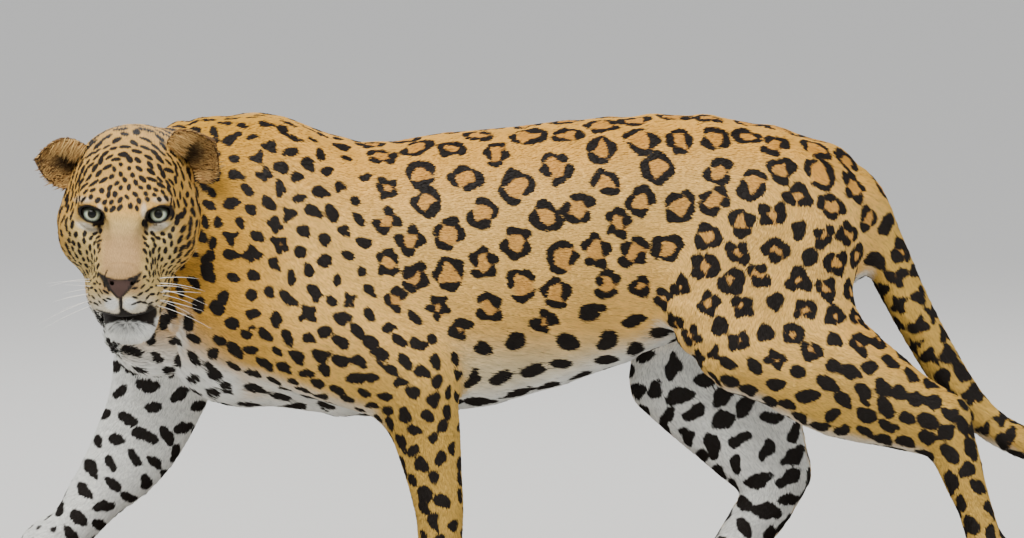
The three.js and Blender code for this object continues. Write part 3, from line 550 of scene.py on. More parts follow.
def surfaceNet(values, lines):
    # one vertex in each cell that the surface crosses, at the mean of its edge
    # crossings, and one face round each crossed edge
    inside = values < 0
    cells = np.array(values.shape) - 1
    ids, places, quads = [], [], []
    for axis in range(3):
        lower = tuple(slice(None, -1) if i == axis else slice(None) for i in range(3))
        upper = tuple(slice(1, None) if i == axis else slice(None) for i in range(3))
        edge = np.argwhere(inside[lower] != inside[upper])
        one, two = (axis + 1) % 3, (axis + 2) % 3
        for other in (one, two):
            edge = edge[(edge[:, other] > 0) & (edge[:, other] < cells[other])]
        end = edge.copy()
        end[:, axis] += 1
        first, second = values[tuple(edge.T)], values[tuple(end.T)]
        t = (first / (first - second))[:, None]
        start = np.column_stack([lines[i][edge[:, i]] for i in range(3)])
        stop = np.column_stack([lines[i][end[:, i]] for i in range(3)])
        crossing = start + (stop - start) * t
        around = []
        for da, db in ((0, 0), (-1, 0), (-1, -1), (0, -1)):
            cell = edge.copy()
            cell[:, one] += da
            cell[:, two] += db
            around.append(np.ravel_multi_index(tuple(cell.T), tuple(cells)))
        around = np.array(around).T
        outwards = inside[tuple(edge.T)]
        quads.append(np.where(outwards[:, None], around, around[:, ::-1]))
        ids.append(around.ravel())
        places.append(np.repeat(crossing, 4, 0))
    ids, places, quads = np.concatenate(ids), np.concatenate(places), np.concatenate(quads)
    used, index = np.unique(ids, return_inverse=True)
    count = np.bincount(index)
    points = np.column_stack([np.bincount(index, places[:, i]) / count for i in range(3)])
    return points, np.searchsorted(used, quads)


def biggestPiece(points, faces):
    # keeps the faces joined to the most vertices, by passing the lowest label round
    label = np.arange(len(points))
    while True:
        lowest = label[faces].min(1)
        fresh = label.copy()
        np.minimum.at(fresh, faces.ravel(), np.repeat(lowest, faces.shape[1]))
        fresh = fresh[fresh]
        if (fresh == label).all():
            break
        label = fresh
    kept = label == np.bincount(label).argmax()
    number = np.cumsum(kept) - 1
    return points[kept], number[faces[kept[faces[:, 0]]]]


def vertexNormals(points, faces):
    # mean of the face normals round each vertex, by area
    across = points[faces[:, 2]] - points[faces[:, 0]]
    other = points[faces[:, 3]] - points[faces[:, 1]]
    normal = np.cross(across, other)
    total = np.zeros_like(points)
    for corner in range(4):
        total += np.column_stack([
            np.bincount(faces[:, corner], normal[:, i], len(points)) for i in range(3)
        ])
    return unit(total)


def relaxed(points, faces, turns, strength):
    # each vertex drawn towards the mean of its face centres, then pushed back out
    for turn in range(2 * turns):
        centres = points[faces].mean(1)
        count = np.bincount(faces.ravel(), minlength=len(points))[:, None]
        mean = np.column_stack(
            [np.bincount(faces.ravel(), np.repeat(centres[:, i], 4), len(points)) for i in range(3)]
        ) / np.maximum(count, 1)
        points = points + (mean - points) * (strength if turn % 2 == 0 else -strength * 0.96)
    return points


# Finer where the face, the ears' roots and the paws are. Spans: from, spacing.
xLines = gridLines(886, (-760, 7.5), (-690, 3.7), (-626, 2.25), (-492, 4.5), (-450, 7.5))
yLines = gridLines(160, (-306, 2.4), (-190, 3.8), (-130, 7.5))
zLines = gridLines(716, (14, 4.5), (80, 7.5), (400, 4.5), (448, 2.35), (612, 4.8))
field = fieldOnGrid(xLines, yLines, zLines)
skinPoints, skinFaces = biggestPiece(*surfaceNet(field, (xLines, yLines, zLines)))
skinPoints = relaxed(skinPoints, skinFaces, 2, 0.5)
skinNormals = vertexNormals(skinPoints, skinFaces)
print("skin:", len(skinPoints), "vertices", 2 * len(skinFaces), "triangles")

# What each place of the skin belongs to, and the coat's lie there.
lieReach, partReach, droop = 9, 8, 0.35
legParts = ("leftFore", "rightFore", "leftHind", "rightHind")
pawParts = ("leftForePaw", "rightForePaw", "leftHindPaw", "rightHindPaw")
partNames = ("trunk", "neck", "head", "tail") + legParts + pawParts
noseTip = onHead(262, 0, -14)
unwrapCells = math.ceil(math.sqrt(len(fleshShapes)))


def survey(points, normals):
    # weight of every part at each place, falling with distance, and the lie: backwards
    # on the body, down the legs, out along the tail and away from the nose on the head;
    # with a place on an unwrap that has one cell per sweep, along it and round it
    near = {name: np.full(len(points), farAway) for name in partNames}
    lie = np.zeros_like(points)
    leading = np.full(len(points), farAway)
    unwrap = np.zeros((len(points), 2))
    for k, shape in enumerate(fleshShapes):
        best = np.full(len(points), farAway)
        ahead = np.zeros_like(points)
        place = np.zeros((len(points), 2))
        for i in range(len(shape["centre"]) - 1):
            low, high = reachOf(shape, i)
            some = np.flatnonzero(((points > low) & (points < high)).all(1))
            if len(some) == 0:
                continue
            outside, t, u, v = distanceAlong(shape, i, *points[some].T)
            closer = outside < best[some]
            some, t = some[closer], t[closer]
            best[some] = outside[closer]
            turned = np.arctan2(v[closer], u[closer]) / (2 * math.pi) + 0.5
            place[some] = np.column_stack([(i + t) / (len(shape["centre"]) - 1), turned])
            t = t[:, None]
            ahead[some] = shape["ahead"][i] * (1 - t) + shape["ahead"][i + 1] * t
        near[shape["part"]] = np.minimum(near[shape["part"]], best)
        lie += ahead * (shape["lie"] * np.exp(-np.clip(best, -40, 400) / lieReach))[:, None]
        leads = best < leading
        leading[leads] = best[leads]
        cell = np.array([k % unwrapCells, k // unwrapCells])
        margin = 0.04
        unwrap[leads] = (cell + margin + (1 - 2 * margin) * place[leads]) / unwrapCells
    nearest = np.min(list(near.values()), 0)
    weights = {name: np.exp(-(value - nearest) / partReach) for name, value in near.items()}
    total = sum(weights.values())
    weights = {name: value / total for name, value in weights.items()}
    fromNose = unit(points - noseTip)
    lie = unit(lie) + (fromNose - unit(lie)) * weights["head"][:, None]
    lie += unit(np.array([0.2, 0, -1.0])) * (droop * weights["trunk"])[:, None]
    lie -= normals * (lie * normals).sum(1, keepdims=True)
    return weights, unit(lie), unwrap


skinWeights, skinLie, _ = survey(skinPoints, skinNormals)
print("surveyed")


# The face as seen from the front: the middle between the eyes, and the rise of what is
# farther away, because the viewer looks down a little.
faceMiddle = {"x": -559.0, "height": 553.5}
viewRise, viewDepth = 0.0875, -110


def seenHeight(points):
    # height as the viewer sees it, level with its own at the depth of the face
    return points[:, 2] + viewRise * (points[:, 1] - viewDepth)


def facePlane(points):
    # across and up in millimetres from the middle of the face, as seen from the front
    return points[:, 0] - faceMiddle["x"], seenHeight(points) - baseTop - faceMiddle["height"]


def colour(red, green, blue):
    # display colour from 0 to 255 as linear light
    share = np.array([red, green, blue]) / 255
    return np.where(share <= 0.04045, share / 12.92, ((share + 0.055) / 1.055) ** 2.4)


tone = {
    "back": colour(234, 167, 58),
    "flank": colour(240, 191, 102),
    "neck": colour(204, 148, 34),
    "lowFlank": colour(228, 210, 168),
    "white": colour(247, 247, 240),
    "leg": colour(212, 170, 76),
    "centre": colour(196, 124, 40),
    "forehead": colour(218, 170, 88),
    "bridge": colour(186, 148, 100),
    "cheek": colour(216, 186, 118),
    "face": colour(212, 163, 76),
    "nose": colour(74, 53, 46),
    "black": colour(26, 19, 14),
}


def mixed(base, other, share):
    # base with a share of another colour
    return base + (other - base) * np.asarray(share)[:, None]


def nosePaint(points):
    # the nose pad, wide above and pointed below, and its dark comma-shaped edges
    a, b = facePlane(points)
    a = np.abs(a + 1.5)
    front = ramp(-190, -200, points[:, 1]) * ramp(-114, -111, b)
    outline = 3.5 + 24.5 * np.clip((b + 111) / 31, 0, 1) ** 0.8
    top = -88 + 0.012 * a * a
    inside = ramp(0.8, -0.8, a - outline) * ramp(0.8, -0.8, b - top) * front
    comma = 2.6 + 5.6 * ramp(8, 24, a)
    edge = ramp(1.0, 0.4, np.abs(a - outline + comma * 0.5) / comma)
    edge = edge * ramp(2.5, 0, b - top) * ramp(31, 28, a)
    edge = np.maximum(edge, ramp(1.6, 0.6, np.abs(b - top)) * ramp(30, 27, a) * 0.8)
    return inside, edge * front


def lipPaint(points):
    # the black lips: two lobes above, an arch over the chin below, thick at the corners
    a, b = facePlane(points)
    corner = ramp(1, 0.7, np.hypot((a - 38) / 8, (b + 131) / 13))
    a = np.abs(a - 1 - 5 * ramp(-124, -134, b))
    top = -124 - 9 * (1 - np.exp(-((a / 6) ** 2))) + 0.006 * a * a
    bottom = -142 - 0.006 * a * a
    lips = ramp(0.8, -0.8, b - top) * ramp(0.8, -0.8, bottom - b) * ramp(37, 34, a)
    return np.maximum(lips, corner) * (points[:, 1] < -175)


def innerSide(points, normals, weights):
    # how far a place lies on the side of a leg that faces the other leg
    legs = sum(weights[name] for name in legParts + pawParts)
    towards = -np.sign(points[:, 1]) * normals[:, 1]
    rightFront = (np.sign(points[:, 1]) > 0) * (normals[:, 0] < 0)
    return legs * ramp(0.0, 0.55, towards + 0.25 * rightFront)


def eyeDistance(points):
    # distance outside the nearer eye's opening
    first, second = (eyeOpening(*points.T, k) for k in (0, 1))
    return np.where(points[:, 0] < faceMiddle["x"], second, first)


def groundColour(points, normals, weights):
    # coat colour between the markings: golden above, pale below and inside the legs
    x, y, z = points.T
    height = z - baseTop
    base = np.tile(tone["flank"], (len(points), 1))
    base = mixed(base, tone["back"], ramp(0.1, 0.9, normals[:, 2]) * 0.8)
    base = mixed(base, tone["neck"], ramp(-300, -430, x) * 0.75)
    lowFlank = ramp(410, 330, height) * weights["trunk"] * ramp(-420, -250, x)
    base = mixed(base, tone["lowFlank"], lowFlank)
    legs = sum(weights[name] for name in legParts + pawParts)
    darker = 0.8 * np.maximum(legs * ramp(420, 260, height), weights["tail"])
    base = mixed(base, tone["leg"] * 0.9, darker)
    under = ramp(-0.55, -0.92, normals[:, 2]) * (weights["trunk"] + weights["neck"] + 0.6 * legs)
    chest = ramp(-0.25, -0.75, normals[:, 0]) * ramp(450, 405, height)
    chest = chest * ramp(-430, -500, x) * (1 - weights["head"])
    outer = legs * ramp(-0.05, 0.45, np.sign(y) * normals[:, 1])
    lowChest = ramp(430, 330, height) * ramp(-360, -430, x) * (1 - weights["head"])
    lowChest = lowChest * (1 - outer)
    tailUnder = weights["tail"] * ramp(-0.4, -0.9, normals[:, 2] - 0.3 * normals[:, 0])
    inner = innerSide(points, normals, weights)
    white = np.clip(np.maximum.reduce([under, chest, lowChest, tailUnder, inner]), 0, 1)
    base = mixed(base, tone["white"], white)
    crown = weights["head"] * ramp(-0.2, 0.3, normals[:, 2])
    base = mixed(base, tone["forehead"], crown * (1 - white))

    a, b = facePlane(points)
    a = np.abs(a)
    front = ramp(-150, -185, y)
    face = np.tile(tone["face"], (len(points), 1))
    face = mixed(face, tone["forehead"], ramp(62, 40, a) * ramp(-10, 12, b))
    face = mixed(face, tone["cheek"], ramp(10, -20, b) * ramp(84, 60, a))
    # pale under and over the eyes, beside the bridge, on the muzzle and on the chin
    pale = ramp(1, 0.4, np.hypot((a - 47) / 19, (b + 18 - 0.3 * (a - 47)) / 8)) * 0.6
    pale = np.maximum(pale, ramp(1, 0.3, np.hypot((a - 52) / 18, (b - 18) / 6)) * 0.35)
    pale = np.maximum(pale, ramp(1, 0.3, np.hypot((a - 29) / 6, (b - 2) / 17)) * 0.4)
    pale = np.maximum(pale, ramp(1, 0.4, np.hypot((a - 12) / 15, (b + 120) / 13)))
    pale = np.maximum(pale, ramp(-132, -140, b))
    pale = np.maximum(pale, ramp(-96, -128, b) * ramp(60, 30, a) * 0.6)
    face = mixed(face, tone["white"], pale)
    bridge = ramp(33, 20, a) * ramp(4, -44, b) * ramp(-112, -100, b)
    face = mixed(face, tone["bridge"], bridge * 0.9)
    bridgeEdge = ramp(6, 1, np.abs(a - 29)) * ramp(-8, -20, b) * ramp(-84, -40, b)
    face = mixed(face, tone["centre"] * 0.5, bridgeEdge * 0.35)
    tear = ramp(4.0, 1.6, np.abs(a - 31)) * ramp(-3, -8, b) * ramp(-30, -16, b)
    face = mixed(face, tone["black"], tear)
    rim = eyeDistance(points)
    face = mixed(face, tone["black"], ramp(4.0, 2.2, rim) * ramp(-180, -190, y))
    # the seam from the nose down to the lips, and the speckled top of the chin
    seam = ramp(1.8, 0.9, np.abs(a - 1)) * ramp(-108, -111, b) * ramp(-134, -130, b)
    face = mixed(face, tone["black"], seam * front)
    pad, edge = nosePaint(points)
    face = mixed(face, tone["nose"], pad)
    face = mixed(face, tone["black"], edge)
    chinTop = ramp(-160, -150, b) * ramp(-136, -142, b) * ramp(34, 24, a)
    speckle = np.clip(wobble(points, 1.6, 5, 12)[:, 0], 0, 1) * chinTop
    face = mixed(face, tone["black"], speckle * 0.75)
    face = mixed(face, tone["black"], lipPaint(points) * front)
    return mixed(base, face, weights["head"] * front)


# Markings: centres thrown on the skin no closer than their spacing, each drawn as one
# or several ovals lying on the skin.
markPlan = {
    # kind: spacing, size, length over width
    "rosette": (43.5, 17.0, 1.0),
    "ring": (32, 12.6, 1.0),
    "spot": (23, 8.9, 1.25),
    "legSpot": (20, 9.2, 1.3),
    "hindSpot": (23, 11.6, 1.3),
    "tailSpot": (25, 14.5, 1.15),
    "blotch": (36, 12.0, 1.15),
    "belly": (37, 14.5, 1.3),
    "bar": (28, 11.2, 1.8),
    "hindBar": (28, 13.5, 1.7),
    "neck": (18, 7.9, 1.8),
    "pawDot": (13, 4.2, 1.4),
    "dash": (12.0, 5.4, 1.75),
    "dot": (8.9, 4.1, 1.45),
    "crown": (11.0, 5.6, 1.8),
    "whisker": (9.0, 3.1, 2.8),
}


def markKinds(points, normals, weights):
    # kind of marking at each place of the skin
    x, y, z = points.T
    height = z - baseTop
    kind = np.full(len(points), "rosette", dtype="<U8")
    body = np.argmax([weights[name] for name in partNames], 0)
    part = np.array(partNames)[body]
    inner = innerSide(points, normals, weights) > 0.5
    trunk = part == "trunk"
    kind[trunk & (x < -235)] = "spot"
    kind[trunk & (height < 425) & (x > -250)] = "blotch"
    kind[trunk & (normals[:, 2] < -0.35)] = "belly"
    fore = (part == "leftFore") | (part == "rightFore")
    kind[fore] = "spot"
    kind[fore & (height < 400)] = "legSpot"
    hind = (part == "leftHind") | (part == "rightHind")
    kind[hind] = "ring"
    kind[hind & (height < 360)] = "hindSpot"
    kind[inner & (height < 430)] = "bar"
    kind[inner & (height < 430) & hind] = "hindBar"
    kind[(part == "neck") | (trunk & (x < -430))] = "neck"
    kind[trunk & (x < -420) & (height < 440)] = "bar"
    kind[part == "tail"] = "tailSpot"
    kind[np.isin(part, pawParts)] = "pawDot"
    head = part == "head"
    a, b = facePlane(points)
    side = np.abs(a)
    kind[head] = "dash"
    kind[head & (y > -150)] = "neck"
    kind[head & (side < 60)] = "dot"
    kind[head & (side < 74) & (b < -14)] = "dot"
    kind[head & (b > 36) & (side > 20) & (side < 66)] = "crown"
    kind[head & (b > 68)] = "crown"
    kind[head & (b > 90)] = "neck"
    bridge = (side < 27 + 2 * (b < -50)) & (b < 3) & (b > -86)
    muzzle = (b < -84) & (side < 58) & (b > -124)
    kind[head & muzzle] = "whisker"
    eyes = np.hypot((side - 44) / 20, (b - 1) / 15) < 1
    eyes |= np.hypot((side - 46) / 19, (b + 14) / 11) < 1
    mouth = (b < -122) & (side < 40) & (b > -150)
    snout = (side < 14) & (b < -80)
    kind[head & (bridge | eyes | mouth | snout) & (y < -165)] = "none"
    kind[head & (b < -128) & (y < -150) & (np.abs(a - 5) < 42)] = "none"
    return kind


def thrown(points, spacing, areas, rounds):
    # darts on the skin, each clearing its surroundings, then drawn to the middle of
    # the places nearest to them
    order = rng.permutation(len(points))
    free = np.ones(len(points), bool)
    chosen = []
    for index in order:
        if not free[index]:
            continue
        chosen.append(index)
        gap = points - points[index]
        free &= np.einsum("ij,ij->i", gap, gap) > spacing[index] ** 2
    chosen = np.array(chosen)
    for _ in range(rounds):
        nearest = np.full(len(points), 1e9)
        owner = np.zeros(len(points), int)
        for k, index in enumerate(chosen):
            gap = points - points[index]
            apart = np.einsum("ij,ij->i", gap, gap)
            closer = apart < nearest
            nearest[closer] = apart[closer]
            owner[closer] = k
        share = np.bincount(owner, areas, len(chosen))
        middle = np.column_stack([
            np.bincount(owner, areas * points[:, i], len(chosen)) for i in range(3)
        ])
        middle /= np.maximum(share, 1e-9)[:, None]
        drift = np.einsum("ij,ij->i", points - middle[owner], points - middle[owner])
        ordered = np.lexsort((drift, owner))
        first = np.unique(owner[ordered], return_index=True)[1]
        chosen = ordered[first]
    return chosen


def faceAreas(points, faces):
    # half the length of the cross product of each face's diagonals
    one, two, three, four = (points[faces[:, k]] for k in range(4))
    return np.linalg.norm(np.cross(three - one, four - two), axis=1) / 2


def vertexAreas(points, faces):
    # a quarter of each face's area to each of its vertices
    quarter = faceAreas(points, faces) / 4
    return np.bincount(faces.ravel(), np.repeat(quarter, 4), len(points))


kinds = markKinds(skinPoints, skinNormals, skinWeights)
areas = vertexAreas(skinPoints, skinFaces)
spacing = np.array([markPlan[name][0] if name in markPlan else 0 for name in kinds])
onFace = skinWeights["head"] > 0.5
drawn = kinds != "none"
chosen = []
for zone, rounds in ((~onFace & drawn, 3), (onFace & drawn, 1)):
    index = np.flatnonzero(zone)
    chosen.append(index[thrown(skinPoints[index], spacing[index], areas[index], rounds)])
chosen = np.concatenate(chosen)
print("marks:", len(chosen))


# Dark patches beside the jaw: across, height, half length, half width, tilt.
throatPatches = np.array([
    (-448, 505, 15, 10, -0.2),
    (-431, 469, 11, 9, 0.3),
    (-463, 454, 12, 10, 0.3),
    (-441, 452, 11, 10, 0),
    (-479, 431, 13, 9, 0.5),
])
patchRoom = 21


def nearestSeen(across, height):
    # the skin's vertex at a place as seen from the front, nearest to the viewer
    off = np.hypot(skinPoints[:, 0] - across, seenHeight(skinPoints) - height)
    near = np.flatnonzero(off < 5)
    return near[np.argmin(skinPoints[near, 1])]


patchRoots = [nearestSeen(across, height) for across, height in throatPatches[:, :2]]
fromPatch = np.linalg.norm(skinPoints[chosen][:, None] - skinPoints[patchRoots][None], axis=2)
chosen = chosen[(fromPatch > patchRoom).all(1)]

# Share of a kind's marks that are rings, thickness of a ring, and the lie of the marks
# on the face: outwards and up.
ringShare = {"rosette": 1, "blotch": 1, "ring": 0.75, "tailSpot": 0.75, "spot": 0.12}
ringThick = {"rosette": 6.3, "blotch": 7.4, "tailSpot": 8.2, "ring": 6.9, "spot": 6.9}
faceLie = {"dash": (0.1, 1), "dot": (0.35, 1), "crown": (0.75, 0.75), "whisker": (1, 0.15)}


def drawnMarks(chosen):
    # ovals of every mark: place, long axis, short axis, normal, half length, half width
    # and bend; a ring's ovals bend round its middle
    ovals, centres = [], []
    a, b = facePlane(skinPoints)
    for index in chosen:
        kind = kinds[index]
        _, size, ratio = markPlan[kind]
        place, normal, lie = skinPoints[index], skinNormals[index], skinLie[index]
        room = math.sqrt(np.partition(((skinPoints[chosen] - place) ** 2).sum(1), 1)[1]) / 2
        if kind in faceLie:
            tilt = faceLie[kind]
            if kind == "crown" and b[index] > 78:
                tilt = (1, 0.25)
            lean = -np.sign(a[index]) if kind in ("crown", "dot") else np.sign(a[index])
            lie = np.array([tilt[0] * lean, 0.3, tilt[1]])
        elif kind == "neck":
            lie = np.array([0.35, 0, -1.0])
        elif kind in ("bar", "hindBar"):
            lie = np.cross(normal, lie)
        lie = lie - normal * (lie @ normal)
        lie /= max(np.linalg.norm(lie), 1e-6)
        across = np.cross(normal, lie)
        size = size * rng.uniform(0.85, 1.15)
        stretch = math.sqrt(ratio * rng.uniform(0.85, 1.2))
        turn = rng.normal(0, 0.25 if size < 6 else 0.5)
        along = lie * math.cos(turn) + across * math.sin(turn)
        over = across * math.cos(turn) - lie * math.sin(turn)
        share = ringShare.get(kind, 0)
        ringed = share == 1 or (share > 0 and rng.random() < share)
        if not ringed:
            size = min(size, 1.02 * room)
            ovals.append((*place, *along, *over, *normal, size * stretch, size / stretch, 0))
            if size > 6 and rng.random() < 0.5:
                shift = along * size * rng.uniform(0.7, 1.0) + over * size * rng.normal(0, 0.4)
                small = (size * 0.6 * stretch, size * 0.55 / stretch)
                ovals.append((*(place + shift), *along, *over, *normal, *small, 0))
            continue
        flat = 1.15 if normal[2] > 0.8 else 0.9
        thick = ringThick[kind]
        size = min(size, room - 0.8 * thick - 0.6)
        count = rng.integers(3, 6) if kind == "rosette" else rng.integers(3, 5)
        start = rng.uniform(0, 2 * math.pi)
        for k in range(count):
            angle = start + 2 * math.pi * (k + rng.uniform(-0.12, 0.12)) / count
            ca, sa = math.cos(angle), math.sin(angle)
            radius = size * rng.uniform(0.92, 1.08)
            shift = along * ca * radius * flat + over * sa * radius / flat
            tangent = over * ca - along * sa
            outward = along * ca + over * sa
            half = math.pi * radius / count * rng.uniform(0.85, 1.15)
            deep = thick * rng.uniform(0.85, 1.2)
            ovals.append((*(place + shift), *tangent, *outward, *normal, half, deep, 0.45 / radius))
        centres.append((*place, *along, *over, *normal, size * flat, size / flat, 0))
    for index, (long, wide, tilt) in zip(patchRoots, throatPatches[:, 2:]):
        place, normal = skinPoints[index], skinNormals[index]
        along = np.array([math.sin(tilt), 0, math.cos(tilt)])
        along = unit(along - normal * (along @ normal))
        ovals.append((*place, *along, *np.cross(normal, along), *normal, long, wide, 0))
    return np.array(ovals), np.array(centres)


ovals, centres = drawnMarks(chosen)
print("ovals:", len(ovals))

# The look-up of ovals: cell size, an offset that keeps cell numbers positive, their
# stride, and how thick an oval is across its plane.
lookup = {"size": 24.0, "offset": 500, "stride": 2000, "thick": 14}


def cellsOf(points):
    # the cell that each place lies in
    return np.floor(points / lookup["size"]).astype(np.int64) + lookup["offset"]


def cellKeys(cells):
    # one number per cell
    stride = lookup["stride"]
    return (cells[:, 0] * stride + cells[:, 1]) * stride + cells[:, 2]


def ovalField(points, ovals, reach):
    # distance outside the nearest oval, cut at reach; ovals are looked up by cells
    keys = cellKeys(cellsOf(points))
    size = (np.maximum(ovals[:, 12], ovals[:, 13]) + reach)[:, None]
    low, high = cellsOf(ovals[:, :3] - size), cellsOf(ovals[:, :3] + size)
    entryKeys, entryOvals = [], []
    for step in np.ndindex(4, 4, 4):
        cell = low + step
        good = np.flatnonzero((cell <= high).all(1))
        entryKeys.append(cellKeys(cell[good]))
        entryOvals.append(good)
    entryKeys, entryOvals = np.concatenate(entryKeys), np.concatenate(entryOvals)
    order = np.argsort(entryKeys, kind="stable")
    entryKeys, entryOvals = entryKeys[order], entryOvals[order]
    first = np.searchsorted(entryKeys, keys, side="left")
    count = np.searchsorted(entryKeys, keys, side="right") - first
    best = np.full(len(points), float(reach))
    some = np.arange(len(points))
    for k in range(count.max()):
        some = some[count[some] > k]
        oval = ovals[entryOvals[first[some] + k]]
        gap = points[some] - oval[:, :3]
        u = (gap * oval[:, 3:6]).sum(1)
        v = (gap * oval[:, 6:9]).sum(1) + oval[:, 14] * u * u
        w = (gap * oval[:, 9:12]).sum(1)
        ratio = np.sqrt((u / oval[:, 12]) ** 2 + (v / oval[:, 13]) ** 2)
        outside = (ratio - 1) * np.hypot(u, v) / np.maximum(ratio, 1e-3)
        outside = np.where(ratio < 0.05, -oval[:, 13], outside)
        outside = outside + np.maximum(np.abs(w) - lookup["thick"], 0)
        best[some] = np.minimum(best[some], outside)
    return best


def wobble(points, size, wave, seed):
    # smooth random shift of places, from sines along random directions
    turn = np.random.default_rng(seed)
    shift = np.zeros_like(points)
    for _ in range(5):
        direction = unit(turn.normal(size=3)) * 2 * math.pi / (wave * turn.uniform(0.7, 1.5))
        shift += np.sin(points @ direction + turn.uniform(0, 6.3))[:, None] * turn.normal(size=3)
    return shift * size / 3


def marked(points, weights):
    # distance outside the black markings, and how far inside a rosette's centre
    head = weights["head"][:, None]
    shifted = points + (wobble(points, 2.6, 26, 3) + wobble(points, 0.8, 9, 4)) * (1 - 0.75 * head)
    black = ovalField(shifted, ovals, 6)
    middle = ovalField(shifted, centres, 6)
    return black, middle


class Value:
    # a shader socket that adds, takes away, multiplies and divides as a number does

    def __init__(self, tree, socket):
        # the tree that it belongs to and the socket that gives its value
        self.tree, self.socket = tree, socket

    def calculate(self, operation, *others):
        # a new value: one operation on values and numbers
        node = self.tree.nodes.new("ShaderNodeMath")
        node.operation = operation
        for k, value in enumerate(others):
            if isinstance(value, Value):
                self.tree.links.new(value.socket, node.inputs[k])
            else:
                node.inputs[k].default_value = value
        return Value(self.tree, node.outputs[0])

    def __add__(self, other):
        # the sum
        return self.calculate("ADD", self, other)

    def __radd__(self, other):
        # the sum, with a number first
        return self.calculate("ADD", other, self)

    def __sub__(self, other):
        # the difference
        return self.calculate("SUBTRACT", self, other)

    def __rsub__(self, other):
        # the difference, with a number first
        return self.calculate("SUBTRACT", other, self)

    def __mul__(self, other):
        # the product
        return self.calculate("MULTIPLY", self, other)

    def __rmul__(self, other):
        # the product, with a number first
        return self.calculate("MULTIPLY", other, self)

    def __truediv__(self, other):
        # the quotient
        return self.calculate("DIVIDE", self, other)

    def clamped(self):
        # the value, held between 0 and 1
        return self.calculate("MINIMUM", self.calculate("MAXIMUM", self, 0.0), 1.0)


class Look:
    # one material with its shader, and the few kinds of node that it is made of

    def __init__(self, name, roughness, **fixed):
        # a new material; fixed gives values of the shader's sockets
        self.material = bpy.data.materials.new(name)
        self.material.use_nodes = True
        self.tree = self.material.node_tree
        self.shader = self.tree.nodes["Principled BSDF"]
        self.shader.inputs["Roughness"].default_value = roughness
        for socket, value in fixed.items():
            self.shader.inputs[socket.replace("_", " ")].default_value = value

    def node(self, kind, settings, **sockets):
        # any node: its settings first, then its sockets' values or links
        made = self.tree.nodes.new(kind)
        for key, value in settings.items():
            setattr(made, key, value)
        for key, value in sockets.items():
            socket = made.inputs[key.replace("_", " ")]
            if isinstance(value, Value):
                self.tree.links.new(value.socket, socket)
            else:
                socket.default_value = value
        return made

    def attribute(self, name):
        # the node of one of the mesh's attributes
        return self.node("ShaderNodeAttribute", {"attribute_name": name})

    def value(self, name):
        # an attribute as a number
        return Value(self.tree, self.attribute(name).outputs["Fac"])

    def tint(self, name):
        # an attribute as a colour
        return Value(self.tree, self.attribute(name).outputs["Color"])

    def noise(self, scale, detail=3.0):
        # noise over the object's own places
        place = Value(self.tree, self.node("ShaderNodeTexCoord", {}).outputs["Object"])
        made = self.node("ShaderNodeTexNoise", {}, Vector=place, Scale=scale, Detail=detail)
        return Value(self.tree, made.outputs["Fac"])

    def blend(self, share, first, second, kind="MIX"):
        # first with a share of second mixed in
        made = self.node("ShaderNodeMix", {"data_type": "RGBA", "blend_type": kind})
        for place, value in ((0, share), (6, first), (7, second)):
            socket = made.inputs[place]
            if isinstance(value, Value):
                self.tree.links.new(value.socket, socket)
            else:
                socket.default_value = value
        return Value(self.tree, made.outputs[2])

    def give(self, socket, value):
        # a value into one of the shader's sockets
        self.tree.links.new(value.socket, self.shader.inputs[socket])

    def bump(self, height, strength, distance):
        # a height that tilts the surface's shading
        made = self.node("ShaderNodeBump", {}, Height=height, Strength=strength, Distance=distance)
        self.tree.links.new(made.outputs["Normal"], self.shader.inputs["Normal"])


def rgba(tint):
    # a colour with full opacity
    return (*map(float, tint), 1.0)


def coatLook(name, roughness):
    # ground colour with black markings where the distance outside them is below zero
    look = Look(name, roughness, Specular_IOR_Level=0.25)
    black = (look.value("mark") * -0.7 + 0.5).clamped()
    painted = look.blend(black, look.tint("ground"), rgba(tone["black"]))
    shade = look.value("shade") * 0.9 + 0.55
    shaded = look.blend(1.0, painted, look.blend(shade, (0, 0, 0, 1), (1, 1, 1, 1)), "MULTIPLY")
    look.give("Base Color", shaded)
    return look


def addPiece(
    name, points, faces, look, body="root", smooth=True, normals=None, unwrap=None, **data
):
    # an object with a mesh of its own from places in millimetres, its attributes in data
    mesh = bpy.data.meshes.new(name)
    points = np.asarray(points, np.float32) * millimetre
    faces = np.asarray(faces, np.int32)
    mesh.vertices.add(len(points))
    mesh.vertices.foreach_set("co", points.ravel())
    mesh.loops.add(faces.size)
    mesh.loops.foreach_set("vertex_index", faces.ravel())
    mesh.polygons.add(len(faces))
    starts = np.arange(0, faces.size, faces.shape[1], dtype=np.int32)
    mesh.polygons.foreach_set("loop_start", starts)
    mesh.polygons.foreach_set("use_smooth", np.full(len(faces), smooth))
    for key, values in data.items():
        values = np.asarray(values, np.float32)
        if values.ndim == 2:
            layer = mesh.color_attributes.new(key, "FLOAT_COLOR", "POINT")
            opaque = np.column_stack([values, np.ones(len(values))]).astype(np.float32)
            layer.data.foreach_set("color", opaque.ravel())
        else:
            mesh.attributes.new(key, "FLOAT", "POINT").data.foreach_set("value", values)
    if unwrap is not None:
        layer = mesh.uv_layers.new(name="OFBake")
        layer.data.foreach_set("uv", np.asarray(unwrap, np.float32)[faces.ravel()].ravel())
    mesh.update(calc_edges=True)
    if normals is not None:
        mesh.normals_split_custom_set_from_vertices(np.asarray(normals, np.float32))
    mesh.materials.append(look.material)
    piece = bpy.data.objects.new(name, mesh)
    bpy.context.scene.collection.objects.link(piece)
    if body:
        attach(piece, body)
    return piece


skinLook = coatLook("skin", 0.75)
skinLook.bump(skinLook.noise(900.0), 0.35, 0.002)
coat = coatLook("coat", 0.62)


